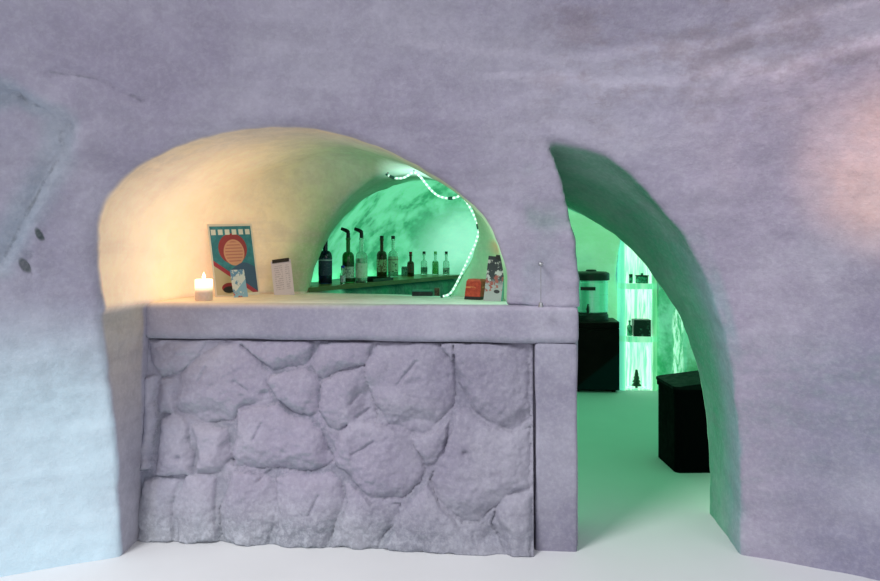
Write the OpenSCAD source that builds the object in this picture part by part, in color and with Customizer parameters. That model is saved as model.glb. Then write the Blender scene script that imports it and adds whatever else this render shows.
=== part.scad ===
// A snow bar inside an igloo: two snow domes meet, and their shared wall holds a serving
// alcove with a counter, a hatch behind it and a walk-through doorway.
// Millimetres, +Z up, the floor is Z = 0, the guests stand on the -Y side.
// The part is worked out with the counter's front face at y = 0 and then centred.

/* [Guest dome] */
// Inner radius of the dome that the guests stand in
guest_r = 3500; // [3300:50:3700]
// Thickness of the guest dome's snow
guest_wall = 400; // [320:10:500]
// How far the kept slice of the guest dome reaches in front of the counter
guest_slice = 1000; // [850:10:1150]

/* [Bar chamber] */
// Inner radius of the round room behind the bar
chamber_r = 1760; // [1700:10:1800]
// Height at which the chamber's wall starts to curve in
chamber_spring = 400; // [300:10:500]
// Chamber axis, to the right of the part's middle
chamber_x = 260; // [220:10:300]
// Chamber axis, behind the counter's front face
chamber_y = 2120; // [2080:10:2160]
// Thickness of the snow heaped round the chamber, on the level
heap_t = 1190; // [1120:10:1250]
// Middle of that heap, behind the counter's front face
mound_y = 1700; // [1650:10:1750]
// Radius of the rounded bay dug behind the hatch's left side
bay_r = 580; // [550:5:600]
// Height at which the bay starts to curve in
bay_spring = 1100; // [1060:10:1130]

/* [Bar alcove] */
// Middle of the serving arch, from the part's middle
arch_x = -780; // [-800:5:-760]
// Half width of the arch on its steep left side
arch_left = 840; // [800:5:860]
// Half width of the arch on its sloping right side
arch_right = 835; // [815:5:850]
// Height of the arch's crown
arch_crown = 1768; // [1740:2:1800]
// Roundness of the left shoulder, 2 is an ellipse
shoulder_left = 2.2; // [2:0.05:2.5]
// Height at which the arch's right side starts to curve in
arch_spring = 1170; // [1120:10:1220]
// Roundness of the right shoulder
shoulder_right = 1.65; // [1.5:0.05:2]
// Depth of the alcove at its middle
alcove_depth = 600; // [560:5:640]
// Turn of the alcove's back wall
alcove_turn = 17; // [14:0.5:20]
// Radius of the alcove's left rear corner
corner_left = 550; // [480:10:580]
// Radius of the alcove's right rear corner
corner_right = 150; // [120:10:200]

/* [Counter] */
// Height of the counter's top
top_z = 1050; // [1030:5:1080]
// Thickness of the counter slab
top_t = 167; // [150:1:185]
// Overhang of the slab in front of the core
top_over = 60; // [50:1:70]
// Rounding of the slab's front edges
top_round = 32; // [20:1:45]
// Width of the post beside the doorway
post_w = 190; // [170:5:210]
// How far the foot of the stone front stands out past the slab
front_foot = 62; // [50:1:75]
// How far the head of the stone front stays behind the slab's face
front_head = 14; // [8:1:20]

/* [Hatch] */
// Middle of the hatch, from the part's middle
hatch_x = -490; // [-510:5:-470]
// Half width of the hatch to the left
hatch_left = 590; // [560:5:600]
// Half width of the hatch to the right
hatch_right = 385; // [360:5:400]
// Height of the hatch's crown
hatch_crown = 1700; // [1670:5:1705]

/* [Doorway] */
// Left jamb of the doorway, from the part's middle
door_left = 335; // [325:5:350]
// Right jamb of the doorway, from the part's middle
door_right = 1000; // [970:5:1030]
// Height of the doorway's peak
door_crown = 1665; // [1640:5:1720]
// How far the peak leans past the left jamb
door_lean = 145; // [120:5:170]
// Height at which the right side starts to curve in
door_spring = 300; // [250:10:350]
// Turn of the passage to the right
door_turn = 1.5; // [0.5:0.25:2.5]
// Fall of the passage's roof towards the chamber
door_fall = 11; // [9:0.5:13]

/* [Worktop] */
// Length of the wooden worktop
board_l = 1900; // [1800:10:1950]
// Width of the wooden worktop
board_w = 350; // [320:5:370]
// Thickness of the wooden worktop
board_t = 26; // [20:1:32]

/* [Ice shelves] */
// Width of the lit niche in the chamber's rear wall
niche_w = 330; // [300:5:350]
// Height of the lit niche
niche_h = 1560; // [1500:10:1600]
// Thickness of an ice shelf
ice_t = 50; // [40:2:60]
// Height of the upper shelf's top
shelf_high = 965; // [940:5:990]
// Height of the lower shelf's top
shelf_low = 490; // [470:5:510]
// Depth of an ice shelf
shelf_d = 190; // [170:5:200]
// Radius of an upright ice post
ice_post_r = 24; // [20:1:26]

/* [Furniture] */
// Width of the cabinet
cabinet_w = 480; // [450:5:500]
// Height of the cabinet
cabinet_h = 630; // [600:5:660]
// Depth of the cabinet
cabinet_d = 370; // [350:5:380]
// Radius of the urn
urn_r = 150; // [140:2:160]
// Height of the urn's wall
urn_h = 290; // [270:5:310]
// Height of the urn's base
urn_base = 71; // [60:1:80]
// Width of the bin
bin_w = 370; // [340:5:400]
// Depth of the bin
bin_d = 330; // [300:5:350]
// Height of the bin
bin_h = 480; // [450:5:510]

/* [Counter pieces] */
// Diameter of the candle
candle_d = 80; // [70:2:90]
// Height of the candle
candle_h = 100; // [90:2:110]
// Width of the leaning picture board
poster_w = 250; // [235:5:260]
// Height of the leaning picture board
poster_h = 375; // [355:5:385]
// Height of a full bottle
bottle_h = 290; // [280:5:300]
// Radius of a full bottle
bottle_r = 37; // [34:1:39]
// Height of a short bottle
short_h = 165; // [155:5:175]
// Height of the jar
jar_h = 60; // [54:1:66]
// Radius of the light rope
rope_r = 5.5; // [4.5:0.5:7]

/* [Hidden] */
$fn = 48;
round_fn = 360;
gap = 0.3;
big = 9000;

// The dish passes just behind the slab's face where the pier stands on the counter.
pier_mid = (arch_x + arch_right + door_left) / 2;
guest_y = 20 - sqrt(pow(guest_r, 2) - pow(top_z, 2) - pow(pier_mid, 2));
mound_r = chamber_r + heap_t;
front_y = -guest_slice;
rear_y = mound_y + mound_r;
mid_y = (front_y + rear_y) / 2;

alc_l = arch_x - arch_left;
alc_r = arch_x + arch_right;
back_k = alcove_depth * cos(alcove_turn) + arch_x * sin(alcove_turn);
core_y = top_over;
slab_z = top_z - top_t;
post_x = door_left - 6 - post_w;
split_y = 1250;
split_door = 900;
split_jamb = door_left + 60;
pier_top = 1800;
vault_y = 100;
crown_z = niche_h + 140;
bay_x = -720;
bay_y = 1300;

// Worktop: its near edge runs from the hatch's left foot towards the rear wall.
edge_a = [hatch_x - hatch_left + 15, 720];
edge_turn = 67;
niche_x = 1235;
niche_y = chamber_y + chamber_r - 320;
panel_t = 60;
post_d = 130;
sill_h = 12;
cabinet_x = chamber_x + 540;
cabinet_y = chamber_y + chamber_r - 600;
door_t = 34;
foot_h = 18;
bin_x = 1165;
bin_y = 1290;

// Where the pieces stand on the counter.
board_at = [-1342, 470];
small_at = [-1290, 372];
menu_at = [-1125, 545];
menu_h = 185;
picture_at = [-38, 244];
picture_h = 208;

function sup(a, b, n, t) = [a * pow(abs(cos(t)), 2 / n) * sign(cos(t)), b * pow(abs(sin(t)), 2 / n)];

module placed() translate([0, -mid_y, 0]) children();
module box(x0, x1, y0, y1, z0, z1) translate([x0, y0, z0]) cube([x1 - x0, y1 - y0, z1 - z0]);

// Stands an outline drawn in X and Z up along Y, from y0 to y1.
module along_y(y0, y1) translate([0, y1, 0]) rotate([90, 0, 0]) linear_extrude(y1 - y0) children();

// Outline of the serving arch, boxy on the left and sloping on the right.
module arch_outline() polygon(concat(
    [[alc_l, -200]],
    [for (t = [180 : -6 : 90]) let (p = sup(arch_left, arch_crown - top_z, shoulder_left, t))
        [arch_x + p[0], top_z + p[1]]],
    [for (t = [84 : -6 : 0]) let (p = sup(arch_right, arch_crown - arch_spring, shoulder_right, t))
        [arch_x + p[0], arch_spring + p[1]]],
    [[alc_r, -200]]));

// Plan of the alcove: two rounded rear corners and a back wall that is not square to the front.
module alcove_plan() {
    a = 90 - alcove_turn;
    n = [cos(a), sin(a)];
    lx = alc_l + corner_left;
    ly = (back_k - corner_left - lx * n[0]) / n[1];
    rx = alc_r - corner_right;
    ry = (back_k - corner_right - rx * n[0]) / n[1];
    polygon(concat(
        [[alc_l, -big]],
        [for (i = [0 : 12]) let (t = 180 - i * (180 - a) / 12)
            [lx + corner_left * cos(t), ly + corner_left * sin(t)]],
        [for (i = [0 : 8]) let (t = a - i * a / 8)
            [rx + corner_right * cos(t), ry + corner_right * sin(t)]],
        [[alc_r, -big]]));
}

module alcove() intersection() {
    along_y(-2500, 1200) arch_outline();
    translate([0, 0, -100]) linear_extrude(2400) alcove_plan();
}

// Outline of the hatch: half an egg on the left, on the right its foot leans in.
module hatch_outline() polygon(concat(
    [[hatch_x - hatch_left, top_z - 200]],
    [for (t = [180 : -7.5 : 90]) let (p = sup(hatch_left, hatch_crown - 900, 1.9, t))
        [hatch_x + p[0], 900 + p[1]]],
    [for (t = [82.5 : -7.5 : 0]) let (p = sup(hatch_right, hatch_crown - 1350, 2, t))
        [hatch_x + p[0], 1350 + p[1]]],
    [[hatch_x + hatch_right - 30, 1250], [hatch_x + hatch_right - 90, 1130],
        [hatch_x + hatch_right - 150, top_z], [hatch_x + hatch_right - 150, top_z - 200]]));

module hatch() along_y(150, 1900) hatch_outline();

// Outline of the doorway where it crosses y = 0: the left side leans over into a peak and the
// right side is a quarter of an ellipse that runs down into a straight jamb.
door_peak = door_left - door_lean;
door_mid = door_peak - 30;
function door_rise(x) = (door_crown - door_spring)
    * sqrt(1 - pow((x - door_mid) / (door_right - door_mid), 2));
peak_z = door_spring + door_rise(door_peak);
function door_points() = concat(
    [[door_left, -500], [door_left, top_z]],
    [for (i = [1 : 9]) [door_left - door_lean * pow(i / 10, 2), top_z + (peak_z - top_z) * i / 10]],
    [[door_peak, peak_z]],
    [for (t = [84 : -6 : 0]) [door_mid + (door_right - door_mid) * cos(t),
        door_spring + (door_crown - door_spring) * sin(t)]],
    [[door_right, -500]]);
// The passage turns and falls, so its outline is drawn square to its own axis.
function squared(p) = [p[0] * cos(door_turn),
    (p[1] + p[0] * sin(door_turn) * tan(door_fall)) * cos(door_fall)];

module passage() rotate([-door_fall, 0, -door_turn]) along_y(-2600, 1150)
    polygon([for (p = door_points()) squared(p)]);

// A domed hollow: an upright wall up to the spring, half a ball above.
module hollow(r, spring) rotate_extrude($fn = round_fn) intersection() {
    union() {
        translate([0, spring]) circle(r = r, $fn = round_fn);
        translate([0, -200]) square([r, spring + 200]);
    }
    translate([0, -200]) square([r, 3000]);
}

// The round room with the bay behind the hatch.
module chamber(shrink = 0) {
    translate([chamber_x, chamber_y, 0]) hollow(chamber_r - shrink, chamber_spring);
    translate([bay_x, bay_y, 0]) hollow(bay_r - shrink, bay_spring);
}

// A ball turned about an upright axis, with its widest ring at floor height.
module ball(r) rotate_extrude($fn = round_fn) intersection() {
    circle(r = r, $fn = round_fn);
    translate([0, -r]) square([r, 2 * r]);
}

module dish() translate([0, guest_y, 0]) ball(guest_r);

module snow_mass() {
    translate([0, guest_y, 0]) ball(guest_r + guest_wall);
    translate([0, mound_y, 0]) ball(mound_r);
}

module niche() box(niche_x - niche_w / 2, niche_x + niche_w / 2, chamber_y + 600, niche_y + panel_t, -100,
    niche_h);

module wall_left() color("lavender") placed() difference() {
    intersection() {
        snow_mass();
        box(-big, alc_l, front_y, split_y, 0, 4000);
    }
    dish();
    chamber();
}

module wall_over_bar() color("lightsteelblue") placed() difference() {
    intersection() {
        snow_mass();
        box(alc_l, alc_r, front_y, vault_y, top_z, 4000);
    }
    dish();
    alcove();
}

module alcove_vault() color("thistle") placed() difference() {
    intersection() {
        snow_mass();
        box(alc_l, alc_r, vault_y, split_y, top_z, 4000);
    }
    dish();
    alcove();
    hatch();
    chamber();
    for (i = rope_pins) translate(rope_route[i] + [0, 0, -20]) cylinder(r = peg_r + gap, h = peg_l + 40);
}

module pier() color("lavender") placed() difference() {
    intersection() {
        snow_mass();
        box(alc_r, split_jamb, front_y, split_y, top_z, pier_top);
    }
    dish();
    passage();
    chamber();
    at_hook() rotate([-90, 0, 0]) cylinder(r = hook_r + gap, h = hook_l + gap);
}

module wall_over_doorway() color("lightsteelblue") placed() difference() {
    intersection() {
        snow_mass();
        union() {
            box(alc_r, split_door, front_y, split_y, pier_top, 4000);
            box(split_jamb, split_door, front_y, split_y, top_z - 200, pier_top);
        }
    }
    dish();
    passage();
    chamber();
}

module wall_right() color("lavender") placed() difference() {
    intersection() {
        snow_mass();
        box(split_door, big, front_y, split_y, 0, 4000);
    }
    dish();
    passage();
    chamber();
}

module bar_core() color("gainsboro") placed() difference() {
    box(alc_l, split_jamb, core_y, split_y, 0, slab_z);
    chamber();
    passage();
}

// Slab with rounded front edges, reaching back to the chamber's wall.
module bar_top() color("white") placed() difference() {
    translate([alc_l, 0, 0]) rotate([90, 0, 90]) linear_extrude(split_jamb - alc_l) union() {
        translate([top_round, slab_z]) square([split_y - top_round, top_t]);
        translate([0, slab_z + top_round]) square([split_y, top_t - 2 * top_round]);
        translate([top_round, slab_z + top_round]) circle(r = top_round);
        translate([top_round, top_z - top_round]) circle(r = top_round);
    }
    chamber();
    passage();
}

module bar_post() color("whitesmoke") placed() linear_extrude(slab_z)
    translate([post_x, 0]) union() {
        translate([20, 4]) square([post_w - 40, core_y - 4]);
        translate([0, 24]) square([post_w, core_y - 24]);
        translate([20, 24]) circle(r = 20);
        translate([post_w - 20, 24]) circle(r = 20);
    }

// The stone front leans out towards its foot; its stones are carved at finer scale.
module bar_front() color("silver") placed() translate([alc_l, 0, 0]) rotate([90, 0, 90])
    linear_extrude(post_x - alc_l)
        polygon([[-front_foot, 0], [core_y, 0], [core_y, slab_z], [front_head, slab_z],
            [-10, slab_z * 0.62], [-front_foot, 120]]);

module rear_shell() difference() {
    intersection() {
        snow_mass();
        box(-big, big, split_y, big, 0, 4000);
    }
    chamber();
    niche();
}

// A wedge of the chamber's plan between two bearings, seen from its axis.
module wedge(a, b) translate([chamber_x, chamber_y, -10]) linear_extrude(4000)
    polygon([[0, 0], big * [cos(a), sin(a)], 1.2 * big * [cos((a + b) / 2), sin((a + b) / 2)],
        big * [cos(b), sin(b)]]);

module rear_part(a, b) placed() intersection() {
    rear_shell();
    wedge(a, b);
    box(-big, big, split_y, big, 0, crown_z);
}

module chamber_left() color("lavender") rear_part(140, 215);
module chamber_rear_left() color("lightsteelblue") rear_part(88, 140);
module chamber_rear_right() color("lavender") rear_part(30, 88);
module chamber_right() color("lightsteelblue") rear_part(-35, 30);

module chamber_crown() color("thistle") placed() difference() {
    intersection() {
        snow_mass();
        box(-big, big, split_y, big, crown_z, 4000);
    }
    chamber();
}

module at_edge() translate([edge_a[0], edge_a[1], 0]) rotate([0, 0, edge_turn]) children();

// The snow bench below the worktop follows the chamber's wall.
module worktop_ledge() color("gainsboro") placed() intersection() {
    chamber(gap);
    at_edge() box(-chamber_r, 2 * chamber_r, 20, 2 * chamber_r, 0, top_z);
    box(-big, big, edge_a[1] - 20, chamber_y + 0.67 * chamber_r, 0, top_z);
}

module worktop_board() color("burlywood") placed() intersection() {
    at_edge() box(0, board_l, 0, board_w, top_z, top_z + board_t);
    union() {
        chamber(12);
        box(edge_a[0] + 12, bay_x, edge_a[1] - 120, chamber_y, 0, top_z + 100);
    }
}

module ice_panel() color("aquamarine") placed()
    box(niche_x - niche_w / 2 + 5, niche_x + niche_w / 2 - 5, niche_y, niche_y + panel_t - gap, 0, niche_h - 5);

// Two upright ice posts and the shelves between them, with rounded front edges.
module ice_frame() color("paleturquoise") placed() {
    half = niche_w / 2;
    inner = half - 2 * ice_post_r - 2;
    for (s = [-1, 1]) translate([niche_x + s * (half - ice_post_r - 2), niche_y - post_d, 0])
        linear_extrude(niche_h - 8) union() {
            circle(r = ice_post_r);
            translate([-ice_post_r, 0]) square([2 * ice_post_r, post_d - gap]);
        }
    for (z = [shelf_high, shelf_low]) difference() {
        box(niche_x - inner, niche_x + inner, niche_y - shelf_d, niche_y - gap, z - ice_t, z);
        for (s = [-1, 1]) translate([niche_x + s * inner, niche_y - shelf_d, z - ice_t - 1])
            rotate([0, 0, 45]) cube([40, 40, 2 * (ice_t + 2)], center = true);
    }
    box(niche_x - inner, niche_x + inner, niche_y - post_d, niche_y - gap, 0, sill_h);
}

// A pan with a lid and a beaker above, a dark case and a small bottle below, a small tree on the sill.
module shelf_goods() color("darkslategray") placed() {
    u = niche_w / 10;
    translate([niche_x - 2 * u, niche_y - 3.3 * u, shelf_high + gap]) cylinder(r = u / 2, h = 2.5 * u);
    translate([niche_x + u, niche_y - 3.3 * u, shelf_high + gap]) {
        cylinder(r = 1.7 * u, h = 1.9 * u);
        translate([0, 0, 1.9 * u]) cylinder(r = 1.8 * u, h = 0.3 * u);
        translate([0, 0, 2.2 * u]) cylinder(r = 0.36 * u, h = 0.55 * u);
    }
    box(niche_x - 1.5 * u, niche_x + 3 * u, niche_y - 5.2 * u, niche_y - 1.5 * u,
        shelf_low + gap, shelf_low + 4.5 * u);
    translate([niche_x - 2.4 * u, niche_y - 3.6 * u, shelf_low + gap]) bottle(0.7 * u, 4.2 * u, 0.27 * u);
    translate([niche_x - 0.3 * u, niche_y - 2.4 * u, sill_h + gap]) {
        cylinder(r = 0.36 * u, h = u);
        for (i = [0 : 3]) translate([0, 0, (0.6 + i) * u])
            cylinder(r1 = (1.4 - 0.27 * i) * u, r2 = 0.3 * u, h = 1.4 * u);
    }
}

module cabinet() color("dimgray") placed() at_cabinet() {
    difference() {
        box(0, cabinet_w, door_t, cabinet_d, foot_h, cabinet_h);
        for (z = [90 : 45 : 270]) box(90, cabinet_w - 90, cabinet_d - 6, cabinet_d + 6, z, z + 14);
    }
    for (x = [40, cabinet_w - 40], y = [70, cabinet_d - 40]) translate([x, y, 0]) cylinder(r = 18, h = foot_h);
}

// Door and the thin drawer-like strip above it, with a finger groove between.
module cabinet_door() color("black") placed() at_cabinet() difference() {
    union() {
        box(0, cabinet_w, 0, door_t - gap, 30, cabinet_h - 62);
        box(0, cabinet_w, 8, door_t - gap, cabinet_h - 56, cabinet_h);
    }
    translate([-10, -4, cabinet_h - 62]) rotate([0, 90, 0]) cylinder(r = 14, h = cabinet_w + 20);
}

module at_cabinet() translate([cabinet_x - cabinet_w / 2, cabinet_y, 0]) children();

module at_urn() translate([cabinet_x + 18, cabinet_y + cabinet_d - urn_r - 25, cabinet_h]) children();

module urn_body() color("silver") placed() at_urn() difference() {
    translate([0, 0, urn_base]) rotate_extrude() polygon([[0, 0], [urn_r - 6, 0], [urn_r, 8],
        [urn_r, urn_h - 20], [urn_r - 4, urn_h - 8], [urn_r - 4, urn_h], [0, urn_h]]);
    translate([0, 0, urn_base + 10]) cylinder(r = urn_r - 8, h = urn_h);
}

// Thick insulated lid with a low round knob.
module urn_lid() color("black") placed() at_urn() translate([0, 0, urn_base + urn_h + gap]) rotate_extrude()
    polygon([[0, 0], [urn_r + 12, 0], [urn_r + 14, 6], [urn_r + 14, 54], [urn_r + 8, 66], [urn_r - 14, 76],
        [48, 80], [46, 90], [36, 95], [0, 95]]);

// Base ring; handle and tap stand on the urn's wall.
module urn_fittings() color("black") placed() at_urn() {
    handle_z = urn_base + 0.76 * urn_h;
    rotate_extrude() polygon([[0, gap], [urn_r + 4, gap], [urn_r + 4, urn_base - 24],
        [urn_r - 4, urn_base - 14], [urn_r - 6, urn_base - gap], [0, urn_base - gap]]);
    difference() {
        union() {
            for (x = [-95, -5]) translate([x, -urn_r + 70, handle_z]) rotate([90, 0, 0])
                cylinder(r = 9, h = 102);
            translate([-115, -urn_r - 34, handle_z - 15]) cube([130, 14, 30]);
            translate([-54, -urn_r + 40, urn_base + 34]) rotate([90, 0, 0]) cylinder(r = 11, h = 90);
            translate([-54, -urn_r - 50, urn_base]) cylinder(r = 12, h = 50);
            translate([-54, -urn_r - 50, urn_base + 50]) cylinder(r1 = 12, r2 = 5, h = 30);
            translate([-60, -urn_r - 82, urn_base + 78]) cube([12, 40, 8]);
        }
        cylinder(r = urn_r + gap, h = urn_base + urn_h);
    }
}

// Tapered square bin, open above, with rounded upright edges.
module bin_wall(grow, z0, z1) translate([0, 0, z0]) linear_extrude(z1 - z0) {
    square([bin_w - 60 + grow * 2, bin_d + grow * 2], center = true);
    square([bin_w + grow * 2, bin_d - 60 + grow * 2], center = true);
    for (x = [-1, 1], y = [-1, 1]) translate([x * (bin_w / 2 - 30), y * (bin_d / 2 - 30)]) circle(r = 30 + grow);
}

module at_bin() translate([bin_x, bin_y, 0]) rotate([0, 0, 6]) children();

module bin_body() color("black") placed() at_bin() difference() {
    union() {
        bin_wall(0, 0, bin_h);
        bin_wall(8, bin_h - 28, bin_h);
    }
    bin_wall(-5, 6, bin_h + 10);
}

// A hollow lid with a sloping top, low on the left.
module bin_lid() color("dimgray") placed() at_bin() translate([0, 0, bin_h + gap]) difference() {
    intersection() {
        bin_wall(12, 0, 100);
        bin_slope(0);
    }
    intersection() {
        bin_wall(4, -10, 100);
        bin_slope(8);
    }
}

module bin_slope(inset) translate([0, bin_d, 0]) rotate([90, 0, 0]) linear_extrude(2 * bin_d)
    polygon([[-bin_w, -20], [bin_w, -20], [bin_w, 96 - inset], [bin_w / 2, 62 - inset],
        [-bin_w / 2, 16 - inset], [-bin_w, 16 - inset]]);

// Light rope: it swags along the mouth of the hatch and runs down its right side.
rope_route = [[-579, 540, 1668], [-541, 529, 1652], [-498, 516, 1651], [-465, 506, 1665],
    [-439, 498, 1677], [-407, 487, 1654], [-376, 477, 1616], [-350, 470, 1585], [-319, 460, 1559],
    [-288, 448, 1546], [-255, 436, 1541], [-222, 421, 1544], [-194, 411, 1550], [-162, 406, 1510],
    [-134, 398, 1458], [-115, 391, 1412], [-110, 389, 1378], [-117, 390, 1342], [-131, 395, 1303],
    [-151, 401, 1262], [-176, 408, 1208], [-204, 417, 1150], [-235, 425, 1092], [-258, 430, 1066],
    [-286, 434, 1057]];
rope_pins = [0, 4, 12];
peg_r = 4;
peg_l = 60;

module rope_light() color("aquamarine") placed() {
    n = len(rope_route);
    k = 8;
    dirs = [for (i = [0 : n - 1]) let (d = rope_route[min(n - 1, i + 1)] - rope_route[max(0, i - 1)]) d / norm(d)];
    side = [for (d = dirs) let (s = cross(d, [0, 1, 0])) s / norm(s)];
    ring = [for (i = [0 : n - 1]) for (j = [0 : k - 1])
        let (u = side[i], v = cross(dirs[i], side[i]), t = 360 * j / k)
        rope_route[i] + rope_r * (cos(t) * u + sin(t) * v)];
    faces = concat([[for (j = [0 : k - 1]) j]], [[for (j = [k - 1 : -1 : 0]) (n - 1) * k + j]],
        [for (i = [0 : n - 2]) for (j = [0 : k - 1])
            [i * k + j, (i + 1) * k + j, (i + 1) * k + (j + 1) % k, i * k + (j + 1) % k]]);
    polyhedron(ring, faces);
}

// Pegs that stand in bores in the snow and hold the rope's high points.
module rope_pegs() color("gray") placed() for (i = rope_pins) translate(rope_route[i] + [0, 0, rope_r + gap])
    cylinder(r = peg_r, h = peg_l);

module candle() color("ivory") placed() translate([-1390, 160, top_z + gap]) rotate_extrude()
    polygon([[0, 0], [candle_d / 2 - 2, 0], [candle_d / 2, 3], [candle_d / 2, candle_h - 3],
        [candle_d / 2 - 4, candle_h], [candle_d / 2 - 9, candle_h - 5], [8, candle_h - 12], [0, candle_h - 12]]);

module candle_flame() color("orange") placed() translate([-1390, 160, top_z + candle_h - 11]) rotate_extrude()
    polygon([[0, 0], [1.5, 0], [1.5, 8], [6, 13], [8, 20], [6, 30], [2.5, 40], [0, 46]]);

// Stands a card on the counter and leans it back; what would reach into the counter is cut off.
module leaning(place, turn, lean, tip = 0) intersection() {
    translate([place[0], place[1], top_z + gap]) rotate([0, 0, turn])
        rotate([-lean, 0, 0]) rotate([0, tip, 0]) children();
    box(-big, big, -big, big, top_z + gap, 2 * top_z);
}

module picture_board() color("brown") placed() leaning(board_at, 50, 10, -2)
    translate([-poster_w / 2, 0, -20]) cube([poster_w, 5, poster_h + 20]);

module table_card() color("lightblue") placed() leaning(small_at, 58, 14)
    translate([-42, 0, 0]) cube([84, 2, 140]);

module menu_card() color("whitesmoke") placed() leaning(menu_at, 8, 12, -8)
    translate([-52, 0, -20]) cube([104, 3, menu_h + 20]);

module picture_card() color("dimgray") placed() leaning(picture_at, -12, 8, 5)
    translate([-46, 0, -20]) cube([92, 4, picture_h + 20]);

// Spring clips: a triangular body across the card's head.
module clip(w) rotate([0, 90, 0]) linear_extrude(w, center = true)
    polygon([[12, -4], [12, -1], [-4, 1], [-6, 3], [-4, 5], [12, 7], [12, 10], [-8, 6], [-8, 0]]);

module card_clips() color("black") placed() {
    leaning(menu_at, 8, 12, -8) translate([0, -1.5, menu_h]) clip(88);
    leaning(picture_at, -12, 8, 5) translate([0, -1, picture_h]) clip(20);
}

// A small carton with slanting sides.
module small_carton() color("orangered") placed() translate([-122, 340, top_z + gap]) rotate([0, 0, -24])
    along_y(-31, 31) polygon([[-46, 0], [38, 0], [44, 84], [36, 96], [-24, 98], [-34, 86]]);

function on_board(s, w) = [edge_a[0] + s * cos(edge_turn) - w * sin(edge_turn),
    edge_a[1] + s * sin(edge_turn) + w * cos(edge_turn), top_z + board_t + gap];

module tray() color("black") placed() translate(on_board(800, 90)) rotate([0, 0, edge_turn]) difference() {
    translate([-120, -85, 0]) cube([240, 170, 20]);
    translate([-114, -79, 3]) cube([228, 158, 30]);
}

// Where the slab's top ends behind the counter, at the chamber's wall.
function slab_back(x) = chamber_y - sqrt(pow(chamber_r, 2) - pow(top_z - chamber_spring, 2) - pow(x - chamber_x, 2));

// A flat case with a small box at its end.
module counter_box() color("teal") placed() translate([-454, slab_back(-349) - 72, top_z + gap]) {
    cube([105, 70, 28]);
    translate([114, 14, 0]) cube([26, 40, 40]);
}

// A bottle: body, shoulder, neck and lip turned in one profile.
module bottle(r, h, neck) rotate_extrude() polygon(concat(
    [[0, 0], [r - 3, 0], [r, 4], [r, h * 0.56]],
    [for (i = [1 : 6]) let (t = 90 * i / 6) [neck + (r - neck) * cos(t), h * 0.56 + h * 0.13 * sin(t)]],
    [[neck, h - 14], [neck + 2.5, h - 12], [neck + 2.5, h - 2], [neck + 1, h], [0, h]]));

tall_h = bottle_h - 12;
tiny_h = 95;
jar_r = 36;
cap_r = bottle_r / 3;
spots_tall = [[545, 102], [607, 45], [1230, 296], [1310, 250]];
spots_short = [[1770, 250], [1800, 165], [1830, 85], [1460, 190]];
dark_spot = on_board(390, 160);
tiny_spot = on_board(430, 60);
jar_spot = on_board(1560, 290);

module dark_bottle() color("midnightblue") placed() {
    translate(dark_spot) bottle(1.1 * bottle_r, bottle_h, 0.4 * bottle_r);
    translate(tiny_spot) bottle(0.43 * bottle_r, tiny_h, 0.24 * bottle_r);
}

module clear_bottles() color("lightgreen") placed() {
    for (p = spots_tall) translate(on_board(p[0], p[1])) bottle(bottle_r, tall_h, 0.35 * bottle_r);
    for (p = spots_short) translate(on_board(p[0], p[1])) bottle(0.7 * bottle_r, short_h, 0.27 * bottle_r);
    translate(jar_spot) cylinder(r = jar_r, h = jar_h);
}

// A bent pourer on a cork.
module pourer() {
    cylinder(r = cap_r, h = 2.1 * cap_r);
    translate([0, 0, 2.1 * cap_r]) cylinder(r1 = cap_r, r2 = 0.67 * cap_r, h = cap_r);
    translate([0, 0, 2.8 * cap_r]) rotate([0, -62, 0])
        cylinder(r1 = 0.75 * cap_r, r2 = 0.57 * cap_r, h = 4.2 * cap_r);
}

// Bottle tops: two bent pourers and plain caps.
module bottle_tops() color("black") placed() {
    for (i = [0, 1]) translate(on_board(spots_tall[i][0], spots_tall[i][1]) + [0, 0, tall_h + gap]) pourer();
    for (i = [2, 3]) translate(on_board(spots_tall[i][0], spots_tall[i][1]) + [0, 0, tall_h + gap])
        cylinder(r = 1.15 * cap_r, h = 1.8 * cap_r);
    for (p = spots_short) translate(on_board(p[0], p[1]) + [0, 0, short_h + gap])
        cylinder(r = cap_r, h = 1.5 * cap_r);
    translate(dark_spot + [0, 0, bottle_h + gap]) cylinder(r = 1.4 * cap_r, h = 2 * cap_r);
    translate(tiny_spot + [0, 0, tiny_h + gap]) cylinder(r = 0.9 * cap_r, h = 1.15 * cap_r);
    translate(jar_spot + [0, 0, jar_h + gap]) cylinder(r = jar_r - 2, h = 0.8 * cap_r);
}

// A short hook in the pier with a wire that hangs to a weight on the counter.
function dish_y(x, z) = guest_y + sqrt(pow(guest_r, 2) - x * x - z * z);
hook_r = 6;
hook_l = 74;
hook_z = 1230;
module at_hook() translate([165, dish_y(165, hook_z) - 24, hook_z]) children();

module pier_hook() color("gray") placed() at_hook() {
    rotate([-90, 0, 0]) cylinder(r = hook_r, h = hook_l);
    rotate([-90, 0, 0]) rotate_extrude() polygon([[0, -10], [7, -7], [10, 0], [7, 7], [0, 8]]);
    translate([0, 0, top_z + 14 - hook_z]) cylinder(r = 1.5, h = hook_z - top_z - 14);
    translate([0, 0, top_z + gap - hook_z]) cylinder(r1 = 11, r2 = 7, h = 20);
}

wall_left();
wall_over_bar();
alcove_vault();
pier();
wall_over_doorway();
wall_right();
bar_core();
bar_top();
bar_post();
bar_front();
chamber_left();
chamber_rear_left();
chamber_rear_right();
chamber_right();
chamber_crown();
worktop_ledge();
worktop_board();
ice_panel();
ice_frame();
shelf_goods();
cabinet();
cabinet_door();
urn_body();
urn_lid();
urn_fittings();
bin_body();
bin_lid();
rope_light();
rope_pegs();
candle();
candle_flame();
picture_board();
table_card();
menu_card();
card_clips();
picture_card();
small_carton();
tray();
counter_box();
dark_bottle();
clear_bottles();
bottle_tops();
pier_hook();
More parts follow.
